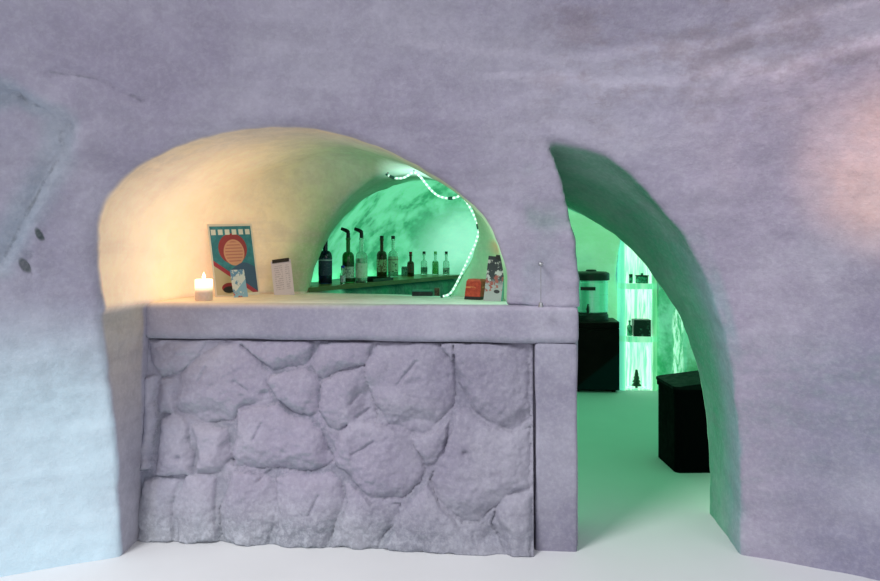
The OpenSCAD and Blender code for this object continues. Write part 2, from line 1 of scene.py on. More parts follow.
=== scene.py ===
import math

import bmesh
import bpy
import numpy as np
from mathutils import Matrix, Vector

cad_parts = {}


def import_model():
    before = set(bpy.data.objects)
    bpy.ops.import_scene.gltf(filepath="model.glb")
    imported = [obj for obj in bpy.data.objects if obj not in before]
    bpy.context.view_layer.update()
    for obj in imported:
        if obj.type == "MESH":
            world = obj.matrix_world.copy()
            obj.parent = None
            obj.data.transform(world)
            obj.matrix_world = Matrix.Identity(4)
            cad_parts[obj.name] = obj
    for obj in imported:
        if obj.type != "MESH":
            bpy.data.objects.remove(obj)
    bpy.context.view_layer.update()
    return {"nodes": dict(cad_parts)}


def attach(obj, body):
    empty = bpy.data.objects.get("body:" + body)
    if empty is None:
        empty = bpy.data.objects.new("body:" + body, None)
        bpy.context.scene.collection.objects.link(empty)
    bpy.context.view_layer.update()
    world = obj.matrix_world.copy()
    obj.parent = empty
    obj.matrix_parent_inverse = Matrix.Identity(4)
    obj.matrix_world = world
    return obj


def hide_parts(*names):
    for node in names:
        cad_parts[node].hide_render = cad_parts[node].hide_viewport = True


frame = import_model()

# Sizes are in metres. They are worked out from the counter's front face at y = 0, and MID_Y
# then moves a point to the row frame.
MID_Y = 1.825
GUEST_R = 3.5
GUEST_WALL = 0.4
FRONT_Y = -1.0
CHART_LOW, CHART_STEP = -4.5, 0.015
CHAMBER = Vector((0.26, 2.12, 0.4))
CHAMBER_R = 1.76
MOUND_Y = 1.7
MOUND_R = 2.95
BAY = Vector((-0.72, 1.3, 1.1))
BAY_R = 0.58
SPLIT_Y = 1.25
CROWN_Z = 1.7
# Where the guests' wall is split into pieces, as X.
SPLIT_ARCH, SPLIT_PIER, SPLIT_DOOR = -1.75, 0.19, 0.9035

ARCH_X, ARCH_LEFT, ARCH_RIGHT = -0.78, 0.84, 0.835
ARCH_CROWN, ARCH_SPRING = 1.768, 1.17
ALCOVE_DEPTH, ALCOVE_TURN = 0.6, math.radians(17)
CORNER_LEFT, CORNER_RIGHT = 0.55, 0.15
HATCH_X, HATCH_LEFT, HATCH_RIGHT, HATCH_CROWN = -0.49, 0.59, 0.385, 1.7
HATCH_SPRINGS, HATCH_FRONT, HATCH_BACK = (0.9, 1.35), 0.15, 1.9
DOOR_LEFT, DOOR_RIGHT, DOOR_CROWN, DOOR_LEAN, DOOR_SPRING = 0.335, 1.0, 1.665, 0.145, 0.3
DOOR_TURN, DOOR_FALL = math.radians(1.5), math.radians(11)
PASSAGE_END = 1.15

TOP_Z, TOP_T, CORE_Y = 1.05, 0.167, 0.06
POST_W = 0.19
NICHE_X, NICHE_Y, NICHE_W, NICHE_H, NICHE_FRONT = 1.235, 3.56, 0.33, 1.56, 2.72
EDGE_A, EDGE_TURN = (-1.065, 0.72), math.radians(67)
BOARD_T, PLY_T, GAP = 0.026, 0.0052, 0.0003

ALC_L = ARCH_X - ARCH_LEFT
ALC_R = ARCH_X + ARCH_RIGHT
SLAB_Z = TOP_Z - TOP_T
POST_X = DOOR_LEFT - 0.006 - POST_W
SPLIT_JAMB = DOOR_LEFT + 0.06
PIER_MID = (ALC_R + DOOR_LEFT) / 2
GUEST_Y = 0.02 - math.sqrt(GUEST_R ** 2 - TOP_Z ** 2 - PIER_MID ** 2)


def smin(a, b, k):
    """The lesser of two distances, with a soft turn k wide between them."""
    h = np.clip(0.5 + 0.5 * (b - a) / k, 0, 1)
    return b + (a - b) * h - k * h * (1 - h)


def smax(a, b, k):
    return -smin(-a, -b, k)


def sup(a, b, n, t):
    """A point on a superellipse's quarter or half, at angle t."""
    c, s = math.cos(t), math.sin(t)
    return (a * abs(c) ** (2 / n) * math.copysign(1, c), b * abs(s) ** (2 / n))


def steps(a, b, n):
    return [math.radians(a + (b - a) * i / n) for i in range(n + 1)]


def arch_outline():
    left = [sup(ARCH_LEFT, ARCH_CROWN - TOP_Z, 2.2, t) for t in steps(180, 90, 15)]
    right = [sup(ARCH_RIGHT, ARCH_CROWN - ARCH_SPRING, 1.65, t) for t in steps(84, 0, 14)]
    return ([(ALC_L, -0.5)] + [(ARCH_X + x, TOP_Z + z) for x, z in left]
            + [(ARCH_X + x, ARCH_SPRING + z) for x, z in right] + [(ALC_R, -0.5)])


def alcove_plan():
    a = math.pi / 2 - ALCOVE_TURN
    nx, ny = math.cos(a), math.sin(a)
    back = ALCOVE_DEPTH * math.cos(ALCOVE_TURN) + ARCH_X * math.sin(ALCOVE_TURN)
    lx, rx = ALC_L + CORNER_LEFT, ALC_R - CORNER_RIGHT
    ly = (back - CORNER_LEFT - lx * nx) / ny
    ry = (back - CORNER_RIGHT - rx * nx) / ny
    turn_left = [math.pi - i * (math.pi - a) / 12 for i in range(13)]
    turn_right = [a - i * a / 8 for i in range(9)]
    return ([(ALC_L, -4)]
            + [(lx + CORNER_LEFT * math.cos(t), ly + CORNER_LEFT * math.sin(t)) for t in turn_left]
            + [(rx + CORNER_RIGHT * math.cos(t), ry + CORNER_RIGHT * math.sin(t)) for t in turn_right]
            + [(ALC_R, -4)])


def hatch_outline():
    left_z, right_z = HATCH_SPRINGS
    left = [sup(HATCH_LEFT, HATCH_CROWN - left_z, 1.9, t) for t in steps(180, 90, 12)]
    right = [sup(HATCH_RIGHT, HATCH_CROWN - right_z, 2, t) for t in steps(82.5, 0, 11)]
    foot = HATCH_X + HATCH_RIGHT
    return ([(HATCH_X - HATCH_LEFT, 0.7)] + [(HATCH_X + x, left_z + z) for x, z in left]
            + [(HATCH_X + x, right_z + z) for x, z in right]
            + [(foot - 0.03, 1.25), (foot - 0.09, 1.13), (foot - 0.15, TOP_Z), (foot - 0.15, 0.7)])


def door_outline():
    peak = DOOR_LEFT - DOOR_LEAN
    mid = peak - 0.03
    rise = (DOOR_CROWN - DOOR_SPRING) * math.sqrt(1 - ((peak - mid) / (DOOR_RIGHT - mid)) ** 2)
    peak_z = DOOR_SPRING + rise
    left = [(DOOR_LEFT - DOOR_LEAN * (i / 10) ** 2, TOP_Z + (peak_z - TOP_Z) * i / 10) for i in range(10)]
    right = [(mid + (DOOR_RIGHT - mid) * math.cos(t), DOOR_SPRING + (DOOR_CROWN - DOOR_SPRING) * math.sin(t))
             for t in steps(84, 0, 14)]
    points = [(DOOR_LEFT, -0.5)] + left + [(peak, peak_z)] + right + [(DOOR_RIGHT, -0.5)]
    return [(x * math.cos(DOOR_TURN), (z + x * math.sin(DOOR_TURN) * math.tan(DOOR_FALL)) * math.cos(DOOR_FALL))
            for x, z in points]


def outline_distance(points, u, v):
    """Signed distance from the points (u, v) to a closed outline, negative inside."""
    u, v = np.broadcast_arrays(u, v)
    best = np.full(u.shape, 1e9)
    inside = np.zeros(u.shape, bool)
    for (ax, ay), (bx, by) in zip(points, points[1:] + points[:1]):
        ex, ey = bx - ax, by - ay
        t = np.clip(((u - ax) * ex + (v - ay) * ey) / (ex * ex + ey * ey), 0, 1)
        best = np.minimum(best, (u - ax - t * ex) ** 2 + (v - ay - t * ey) ** 2)
        if ay != by:
            inside ^= ((ay > v) != (by > v)) & (u < ax + (v - ay) * ex / ey)
    return np.where(inside, -1, 1) * np.sqrt(best)


class Chart:
    """An outline's signed distance on a fine grid, read between its points."""

    def __init__(self, points):
        axis = np.arange(CHART_LOW, -CHART_LOW, CHART_STEP)
        self.values = outline_distance(points, axis[:, None], axis[None, :])

    def __call__(self, u, v):
        u, v = (u - CHART_LOW) / CHART_STEP, (v - CHART_LOW) / CHART_STEP
        top = self.values.shape[0] - 2
        i = np.clip(u.astype(int), 0, top)
        j = np.clip(v.astype(int), 0, top)
        s, t = u - i, v - j
        c = self.values
        return ((c[i, j] * (1 - s) + c[i + 1, j] * s) * (1 - t)
                + (c[i, j + 1] * (1 - s) + c[i + 1, j + 1] * s) * t)


DOOR_CHART = Chart(door_outline())


def ball(x, y, z, centre, r):
    return np.sqrt((x - centre[0]) ** 2 + (y - centre[1]) ** 2 + (z - centre[2]) ** 2) - r


def domed(x, y, z, centre, r):
    """An upright wall up to the centre's height, half a ball above."""
    return np.sqrt((x - centre[0]) ** 2 + (y - centre[1]) ** 2 + np.maximum(z - centre[2], 0) ** 2) - r


def slab(x, y, z, low, high):
    """Distance to a box."""
    dx = np.maximum(low[0] - x, x - high[0])
    dy = np.maximum(low[1] - y, y - high[1])
    dz = np.maximum(low[2] - z, z - high[2])
    outside = np.sqrt(np.maximum(dx, 0) ** 2 + np.maximum(dy, 0) ** 2 + np.maximum(dz, 0) ** 2)
    return outside + np.minimum(np.maximum(np.maximum(dx, dy), dz), 0)


def passage(x, y, z):
    c, s = math.cos(DOOR_TURN), math.sin(DOOR_TURN)
    x1 = x * c - y * s
    y1 = x * s + y * c
    z1 = y1 * math.sin(DOOR_FALL) + z * math.cos(DOOR_FALL)
    x1, z1 = np.broadcast_arrays(x1 + 0 * z, z1)
    return np.maximum(DOOR_CHART(x1, z1), y1 - PASSAGE_END)


def alcove(x, y, z):
    return smax(outline_distance(arch_outline(), x, z), outline_distance(alcove_plan(), x, y), 0.16)


def hatch(x, y, z):
    return np.maximum(outline_distance(hatch_outline(), x, z), np.maximum(HATCH_FRONT - y, y - HATCH_BACK))


def room(x, y, z):
    return smin(domed(x, y, z, CHAMBER, CHAMBER_R), domed(x, y, z, BAY, BAY_R), 0.12)


def heap(x, y, z):
    """The outside of the two domes under heaped snow, and the clean cut through the guests' dome."""
    both = smin(ball(x, y, z, (0, GUEST_Y, 0), GUEST_R + GUEST_WALL - 0.03),
                ball(x, y, z, (0, MOUND_Y, 0), MOUND_R - 0.03), 0.3)
    return smax(both, FRONT_Y + 0.004 - y, 0.05)


def hollows(x, y, z):
    """Everything dug out of the snow."""
    out = smin(ball(x, y, z, (0, GUEST_Y, 0), GUEST_R), alcove(x, y, z), 0.03)
    out = smin(out, hatch(x, y, z), 0.025)
    out = smin(out, passage(x, y, z), 0.022)
    out = smin(out, room(x, y, z), 0.03)
    niche = slab(x, y, z, (NICHE_X - NICHE_W / 2 + 0.02, NICHE_FRONT, -0.5),
                 (NICHE_X + NICHE_W / 2 - 0.02, NICHE_Y + 0.04, NICHE_H - 0.02)) - 0.02
    return smin(out, niche, 0.03)


def snow(x, y, z):
    """The whole mass, with room left for the counter that is built into it."""
    bar = slab(x, y, z, (ALC_L + 0.02, -3, -0.5), (SPLIT_JAMB, SPLIT_Y + 0.01, TOP_Z - 0.008))
    return np.maximum(heap(x, y, z), -np.minimum(hollows(x, y, z), bar))


def surface(field, low, step):
    """The zero surface of a grid of distances: points and four-sided faces."""
    inside = field < 0
    nx, ny, nz = (n - 1 for n in field.shape)
    count = sum(inside[a:a + nx, b:b + ny, c:c + nz].astype(np.int8)
                for a in (0, 1) for b in (0, 1) for c in (0, 1))
    active = (count > 0) & (count < 8)
    number = np.full(active.shape, -1, np.int64)
    number[active] = np.arange(active.sum())
    cell = np.argwhere(active)
    total = np.zeros(cell.shape)
    crossed = np.zeros(len(cell))
    corners = [np.array((a, b, c)) for a in (0, 1) for b in (0, 1) for c in (0, 1)]
    for p in corners:
        for axis in range(3):
            if p[axis]:
                continue
            q = p.copy()
            q[axis] = 1
            fp = field[tuple((cell + p).T)]
            fq = field[tuple((cell + q).T)]
            hit = (fp < 0) != (fq < 0)
            share = fp[hit] / (fp[hit] - fq[hit])
            total[hit] += p + share[:, None] * (q - p)
            crossed[hit] += 1
    points = np.array(low) + (cell + total / crossed[:, None]) * step
    faces = []
    for axis in range(3):
        u, v = (axis + 1) % 3, (axis + 2) % 3
        here = [slice(0, None)] * 3
        here[axis] = slice(0, -1)
        there = [slice(0, None)] * 3
        there[axis] = slice(1, None)
        a, b = inside[tuple(here)], inside[tuple(there)]
        edge = np.argwhere(a != b)
        keep = (edge[:, u] > 0) & (edge[:, v] > 0)
        keep &= (edge[:, u] < field.shape[u] - 1) & (edge[:, v] < field.shape[v] - 1)
        edge = edge[keep]
        out = a[tuple(edge.T)]
        ring = []
        for du, dv in ((-1, -1), (0, -1), (0, 0), (-1, 0)):
            around = edge.copy()
            around[:, u] += du
            around[:, v] += dv
            ring.append(number[tuple(around.T)])
        quad = np.stack(ring, 1)
        quad[~out] = quad[~out][:, ::-1]
        faces.append(quad)
    return points, np.concatenate(faces)


def lattice(i, j, k, seed):
    h = (i * 374761393 + j * 668265263 + k * 1440662683 + seed * 974634777) & 0xFFFFFFFF
    h = ((h ^ (h >> 13)) * 1274126177) & 0xFFFFFFFF
    h = ((h ^ (h >> 15)) * 1103515245) & 0xFFFFFFFF
    return ((h >> 8) & 0xFFFF) / 32767.5 - 1


def noise(p, size, seed):
    """Smooth noise from -1 to 1 at the points p, with lumps about size across."""
    q = p @ TILT.T / size
    i = np.floor(q).astype(np.int64)
    t = q - i
    t = t * t * t * (t * (t * 6 - 15) + 10)
    out = np.zeros(len(p))
    for a in (0, 1):
        wa = t[:, 0] if a else 1 - t[:, 0]
        for b in (0, 1):
            wb = t[:, 1] if b else 1 - t[:, 1]
            for c in (0, 1):
                wc = t[:, 2] if c else 1 - t[:, 2]
                out += wa * wb * wc * lattice(i[:, 0] + a, i[:, 1] + b, i[:, 2] + c, seed)
    return out


# Turns the noise's grid so that its rows do not line up with the walls.
TILT = np.array([[0.36, 0.48, -0.8], [-0.8, 0.6, 0.0], [0.48, 0.64, 0.6]])


def vertex_normals(points, faces):
    a, b, c, d = (points[faces[:, i]] for i in range(4))
    n = np.cross(c - a, d - b)
    out = np.zeros(points.shape)
    for i in range(4):
        np.add.at(out, faces[:, i], n)
    return out / np.maximum(np.linalg.norm(out, axis=1), 1e-12)[:, None]


def path_distance(path, u, v):
    best = np.full(u.shape, 1e9)
    for (ax, ay), (bx, by) in zip(path, path[1:]):
        ex, ey = bx - ax, by - ay
        t = np.clip(((u - ax) * ex + (v - ay) * ey) / (ex * ex + ey * ey), 0, 1)
        best = np.minimum(best, np.hypot(u - ax - t * ex, v - ay - t * ey))
    return best


# Cracks of the guests' wall, as X and Z along each, with a depth and a reach.
CRACKS = [
    ([(-1.75, 1.76), (-1.666, 1.80), (-1.62, 1.823), (-1.612, 1.803)], 0.018, 0.012),
    ([(-1.508, 1.892), (-1.425, 1.90), (-1.368, 1.876), (-1.337, 1.849), (-1.282, 1.828)], 0.013, 0.012),
    ([(-1.513, 1.739), (-1.53, 1.683), (-1.575, 1.631), (-1.644, 1.55), (-1.695, 1.458), (-1.773, 1.328),
      (-1.831, 1.237)], 0.016, 0.013),
    ([(1.0, 0.309), (1.091, 0.313)], 0.007, 0.007),
    ([(0.97, 0.775), (1.183, 0.805), (1.424, 0.876)], 0.004, 0.009),
]
# Ledges: the snow right of (or above) the line, going along it, lies back by the depth.
LEDGES = [
    ([(-1.60, 1.81), (-1.56, 1.787), (-1.513, 1.739), (-1.575, 1.631), (-1.695, 1.458), (-1.831, 1.237)],
     -0.020),
    ([(0.10, 1.93), (0.216, 1.925), (0.362, 1.902), (0.605, 1.893), (0.701, 1.909), (0.821, 1.941),
      (0.934, 1.902), (1.0, 1.925), (1.199, 1.968), (1.5, 2.05)], 0.017),
    ([(-0.2, 2.03), (0.214, 1.978), (0.49, 1.995), (0.748, 1.997), (0.861, 2.028), (1.046, 2.054)], 0.012),
]
# Small holes and lumps: X, Z, reach across, reach up and depth.
MARKS = [
    (-1.679, 1.373, 0.008, 0.03, 0.012), (-1.691, 1.336, 0.007, 0.014, 0.010),
    (-1.743, 1.277, 0.008, 0.02, 0.014), (-1.757, 1.224, 0.011, 0.03, 0.018),
    (-1.503, 2.032, 0.010, 0.008, 0.008), (-1.504, 2.001, 0.006, 0.006, 0.006),
    (-1.594, 1.552, 0.008, 0.008, 0.006), (-1.49, 1.67, 0.035, 0.05, -0.012), (1.081, 1.329, 0.06, 0.03, 0.008),
    (0.586, 1.635, 0.03, 0.012, 0.004), (0.70, 1.885, 0.03, 0.02, 0.008), (0.80, 1.91, 0.025, 0.03, 0.010),
    (0.545, 1.80, 0.03, 0.02, 0.004), (0.25, 1.845, 0.02, 0.03, 0.004), (0.95, 1.60, 0.02, 0.015, 0.004),
]


def wall_marks(x, z):
    """The carved and broken marks of the guests' wall, as a depth into the snow."""
    out = np.zeros(x.shape)
    for path, depth, reach in CRACKS:
        out += depth * np.exp(-(path_distance(path, x, z) / reach) ** 2)
    for path, depth in LEDGES:
        gap = path_distance(path, x, z)
        ends = np.clip(1 - gap / 0.22, 0, 1)
        side = np.zeros(x.shape)
        best = np.full(x.shape, 1e9)
        for (ax, ay), (bx, by) in zip(path, path[1:]):
            near = path_distance([(ax, ay), (bx, by)], x, z)
            turn = np.sign((bx - ax) * (z - ay) - (by - ay) * (x - ax))
            side = np.where(near < best, turn, side)
            best = np.minimum(best, near)
        out += depth * ends * (0.5 + 0.5 * np.tanh(side * gap / 0.012))
    for px, pz, rx, rz, depth in MARKS:
        out += depth * np.exp(-((x - px) / rx) ** 2 - ((z - pz) / rz) ** 2)
    return out


def roughen(points, normals):
    """Moves the points in and out: soft waves on sprayed walls, bigger lumps outside, none at the floor."""
    x, y, z = points.T
    outer = heap(x, y, z)
    inner = np.minimum(hollows(x, y, z), 0.5)
    outside = np.clip((inner - 0.05) / 0.1, 0, 1) * (outer > -0.05)
    wave = 0.008 * noise(points, 0.55, 1) + 0.006 * noise(points, 0.22, 2) + 0.003 * noise(points, 0.09, 3)
    wave += 0.003 * noise(points * (0.5, 0.5, 2.2), 0.13, 8) + 0.0016 * noise(points, 0.045, 9)
    on_wall = np.abs(ball(x, y, z, (0, GUEST_Y, 0), GUEST_R)) < 0.045
    wave -= np.where(on_wall, wall_marks(x, z), 0)
    lump = 0.02 * noise(points, 0.7, 4) + 0.012 * noise(points, 0.3, 5) + 0.006 * noise(points, 0.12, 6) - 0.01
    move = wave * (1 - outside) + lump * outside
    near_cut = np.clip(1 - (y - FRONT_Y) / 0.05, 0, 1)
    move = move * (1 - near_cut) + (0.004 * noise(points, 0.08, 7) - 0.006) * near_cut
    return points + normals * move[:, None]


def new_mesh(name, points, faces, sharp=None):
    """A mesh. With sharp it is smooth but for edges that turn by more than that many degrees."""
    mesh = bpy.data.meshes.new(name)
    mesh.from_pydata(points, [], faces)
    if sharp:
        mesh.shade_smooth()
        mesh.set_sharp_from_angle(angle=math.radians(sharp))
    return mesh


def store(mesh, name, kind, field, values):
    """Writes a value for each of the mesh's points."""
    mesh.attributes.new(name, kind, "POINT").data.foreach_set(field, values)


def angles(sides):
    return [2 * math.pi * k / sides for k in range(sides)]


def ring_faces(count, sides):
    """The faces of a tube whose points are numbered ring after ring, with both ends closed."""
    faces = []
    for i in range(count - 1):
        for k in range(sides):
            m = (k + 1) % sides
            faces.append((i * sides + k, i * sides + m, (i + 1) * sides + m, (i + 1) * sides + k))
    last = (count - 1) * sides
    return faces + [tuple(range(sides))[::-1], tuple(range(last, last + sides))]


def darker(color, share):
    return tuple(c * share for c in color)


def clipped(name, points, faces, normals, planes):
    """A closed mesh of the surface, cut off flat at each plane and capped there."""
    mesh = new_mesh(name, (points - (0, MID_Y, 0)).tolist(), faces.tolist())
    store(mesh, "turned", "FLOAT_VECTOR", "vector", normals.ravel())
    bm = bmesh.new()
    bm.from_mesh(mesh)
    cap = bm.faces.layers.int.new("cap")
    for place, away in planes:
        place = Vector(place) - Vector((0, MID_Y, 0))
        whole = bm.verts[:] + bm.edges[:] + bm.faces[:]
        cut = bmesh.ops.bisect_plane(bm, geom=whole, plane_co=place, plane_no=Vector(away),
                                     clear_outer=True, dist=1e-6)
        edges = [e for e in cut["geom_cut"] if isinstance(e, bmesh.types.BMEdge) and e.is_boundary]
        if edges:
            lid = bmesh.ops.triangle_fill(bm, use_beauty=False, use_dissolve=False, edges=edges,
                                          normal=Vector(away))
            for face in lid["geom"]:
                if isinstance(face, bmesh.types.BMFace):
                    face[cap] = 1
    bm.to_mesh(mesh)
    bm.free()
    return mesh


def stored(items, field, count, kind):
    """One field of a mesh's items, as an array."""
    out = np.zeros(count, kind)
    items.foreach_get(field, out)
    return out


def shade(mesh):
    """Smooth shading from the uncut surface's own normals, so that two pieces meet without a seam."""
    count = len(mesh.polygons)
    turned = stored(mesh.attributes["turned"].data, "vector", len(mesh.vertices) * 3, float).reshape(-1, 3)
    turned /= np.maximum(np.linalg.norm(turned, axis=1), 1e-9)[:, None]
    cap = stored(mesh.attributes["cap"].data, "value", count, np.int32)
    size = stored(mesh.polygons, "loop_total", count, np.int32)
    flat = stored(mesh.polygons, "normal", count * 3, float).reshape(-1, 3)
    face_of_loop = np.repeat(np.arange(count), size)
    out = turned[stored(mesh.loops, "vertex_index", len(mesh.loops), np.int32)]
    on_cap = cap[face_of_loop] == 1
    out[on_cap] = flat[face_of_loop[on_cap]]
    mesh.polygons.foreach_set("use_smooth", np.ones(count, bool))
    mesh.attributes.remove(mesh.attributes["turned"])
    mesh.attributes.remove(mesh.attributes["cap"])
    mesh.normals_split_custom_set(out.tolist())


def add_piece(name, mesh, material, nodes):
    piece = bpy.data.objects.new(name, mesh)
    bpy.context.scene.collection.objects.link(piece)
    mesh.materials.append(material)
    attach(piece, "root")
    if nodes:
        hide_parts(*nodes)
    return piece


class Value:
    """A number inside a material. Arithmetic on it adds math nodes."""

    def __init__(self, nodes, socket):
        self.nodes, self.socket = nodes, socket

    def __add__(self, other):
        return self.nodes.math("ADD", self, other)

    def __sub__(self, other):
        return self.nodes.math("SUBTRACT", self, other)

    def __rsub__(self, other):
        return self.nodes.math("SUBTRACT", other, self)

    def __mul__(self, other):
        return self.nodes.math("MULTIPLY", self, other)

    def __truediv__(self, other):
        return self.nodes.math("DIVIDE", self, other)


class Nodes:
    """A short way to write a material's nodes."""

    sockets = {"color": "Base Color", "rough": "Roughness", "metal": "Metallic", "normal": "Normal",
               "emit": "Emission Color", "power": "Emission Strength", "ior": "IOR", "coat": "Coat Weight",
               "clear": "Transmission Weight", "under": "Subsurface Weight"}

    def __init__(self, name):
        self.material = bpy.data.materials.new(name)
        self.material.use_nodes = True
        self.tree = self.material.node_tree
        self.shader = self.tree.nodes["Principled BSDF"]
        self.place = self.node("TexCoord").outputs["Object"]

    def link(self, source, socket):
        if isinstance(source, Value):
            source = source.socket
        if isinstance(source, bpy.types.NodeSocket):
            self.tree.links.new(source, socket)
        elif isinstance(source, tuple) and len(source) == 3 and socket.type == "RGBA":
            socket.default_value = (*source, 1)
        else:
            socket.default_value = source

    def node(self, kind, inputs=None, **settings):
        made = self.tree.nodes.new("ShaderNode" + kind)
        for key, value in settings.items():
            setattr(made, key, value)
        for key, value in (inputs or {}).items():
            self.link(value, made.inputs[key])
        return made

    def value(self, kind, inputs=None, output=0, **settings):
        return Value(self, self.node(kind, inputs, **settings).outputs[output])

    def math(self, operation, a, b=0.0, clamp=False):
        return self.value("Math", {0: a, 1: b}, operation=operation, use_clamp=clamp)

    def most(self, a, b):
        return self.math("MAXIMUM", a, b)

    def least(self, a, b):
        return self.math("MINIMUM", a, b)

    def fract(self, a):
        return self.math("FRACT", a)

    def vector(self, operation, a, b):
        return self.node("VectorMath", {0: a, 1: b}, operation=operation).outputs[0]

    def length(self, a):
        return self.value("VectorMath", {0: a}, "Value", operation="LENGTH")

    def dot(self, a, b):
        return self.value("VectorMath", {0: a, 1: b}, "Value", operation="DOT_PRODUCT")

    def combine(self, x=0.0, y=0.0, z=0.0):
        return self.node("CombineXYZ", {"X": x, "Y": y, "Z": z}).outputs[0]

    def upward(self, kind, output):
        """How far a surface faces up."""
        return self.value("SeparateXYZ", {"Vector": self.node(kind).outputs[output]}, "Z")

    def stored(self, name):
        return self.value("Attribute", None, "Fac", attribute_name=name)

    def stretch(self, *scale):
        return self.node("Mapping", {"Vector": self.place, "Scale": scale}).outputs[0]

    def noise(self, scale, detail, rough, vector=None):
        return self.value("TexNoise", {"Vector": vector or self.place, "Scale": scale, "Detail": detail,
                                       "Roughness": rough}, "Fac")

    def ramp(self, value, low, high, a=0.0, b=1.0):
        """value carried from low..high to a..b, smoothly and held at both ends."""
        return self.value("MapRange", {"Value": value, "From Min": low, "From Max": high, "To Min": a,
                                       "To Max": b}, "Result", interpolation_type="SMOOTHSTEP")

    def span(self, value, a, b, c, d):
        """One from b to c, and nothing before a and past d."""
        return self.ramp(value, a, b) * self.ramp(value, d, c)

    def between(self, value, low, high, soft=0.0008):
        return self.span(value, low - soft, low + soft, high - soft, high + soft)

    def mix(self, share, a, b):
        made = self.node("Mix", data_type="RGBA", blend_type="MIX")
        for source, key in ((share, "Factor"), (a, "A"), (b, "B")):
            self.link(source, made.inputs[key])
        return made.outputs["Result"]

    def coats(self, color, *layers):
        """Lays one tint after another over a colour, each with its share."""
        for share, tint in layers:
            color = self.mix(share, color, tint)
        return color

    def axis(self, name):
        """A coordinate, with y counted from the counter's front face like the sizes above."""
        made = self.value("SeparateXYZ", {"Vector": self.place}, name)
        return made + MID_Y if name == "Y" else made

    def away_from(self, point, scale=(1, 1, 1)):
        """Distance from a point, given like the sizes above."""
        near = self.vector("SUBTRACT", self.place, (point[0], point[1] - MID_Y, point[2]))
        return self.length(self.vector("MULTIPLY", near, scale))

    def bump(self, height, strength, distance, under=None):
        inputs = {"Height": height, "Strength": strength, "Distance": distance}
        if under is not None:
            inputs["Normal"] = under
        return self.node("Bump", inputs).outputs[0]

    def set(self, **values):
        for key, value in values.items():
            self.link(value, self.shader.inputs[self.sockets[key]])
        return self.material


def line_distance(n, x, z, path):
    """Distance in the X Z plane from a broken line."""
    best = None
    for (ax, az), (bx, bz) in zip(path, path[1:]):
        ex, ez = bx - ax, bz - az
        whole = ex * ex + ez * ez
        dx, dz = x - ax, z - az
        share = n.math("ADD", dx * (ex / whole), dz * (ez / whole), clamp=True)
        dx, dz = dx - share * ex, dz - share * ez
        gap = n.math("SQRT", dx * dx + dz * dz)
        best = gap if best is None else n.least(best, gap)
    return best


# Snow colours: LAVENDER is the base and OUTSIDE the outer snow; the others are the coloured lamps' light and
# shade, painted in.
LAVENDER = (0.335, 0.305, 0.405)
BLUE_PAINTED_LIGHT = (0.36, 0.42, 0.52)
PINK_PAINTED_LIGHT = (0.40, 0.32, 0.41)
OUTSIDE = (0.60, 0.61, 0.67)
CANDLE_PAINTED_LIGHT = (0.95, 0.70, 0.48)
ALCOVE_PAINTED_GLOW = (0.76, 0.58, 0.37)
HATCH_PAINTED_LIGHT = (0.33, 0.60, 0.36)
REVEAL_FRONT_PAINTED_LIGHT = (0.21, 0.34, 0.37)
REVEAL_HIGH_PAINTED_SHADE = (0.025, 0.23, 0.12)
REVEAL_DEEP_PAINTED_LIGHT = (0.07, 0.36, 0.21)
WARM_PAINTED_LIGHT = (1.0, 0.60, 0.48)


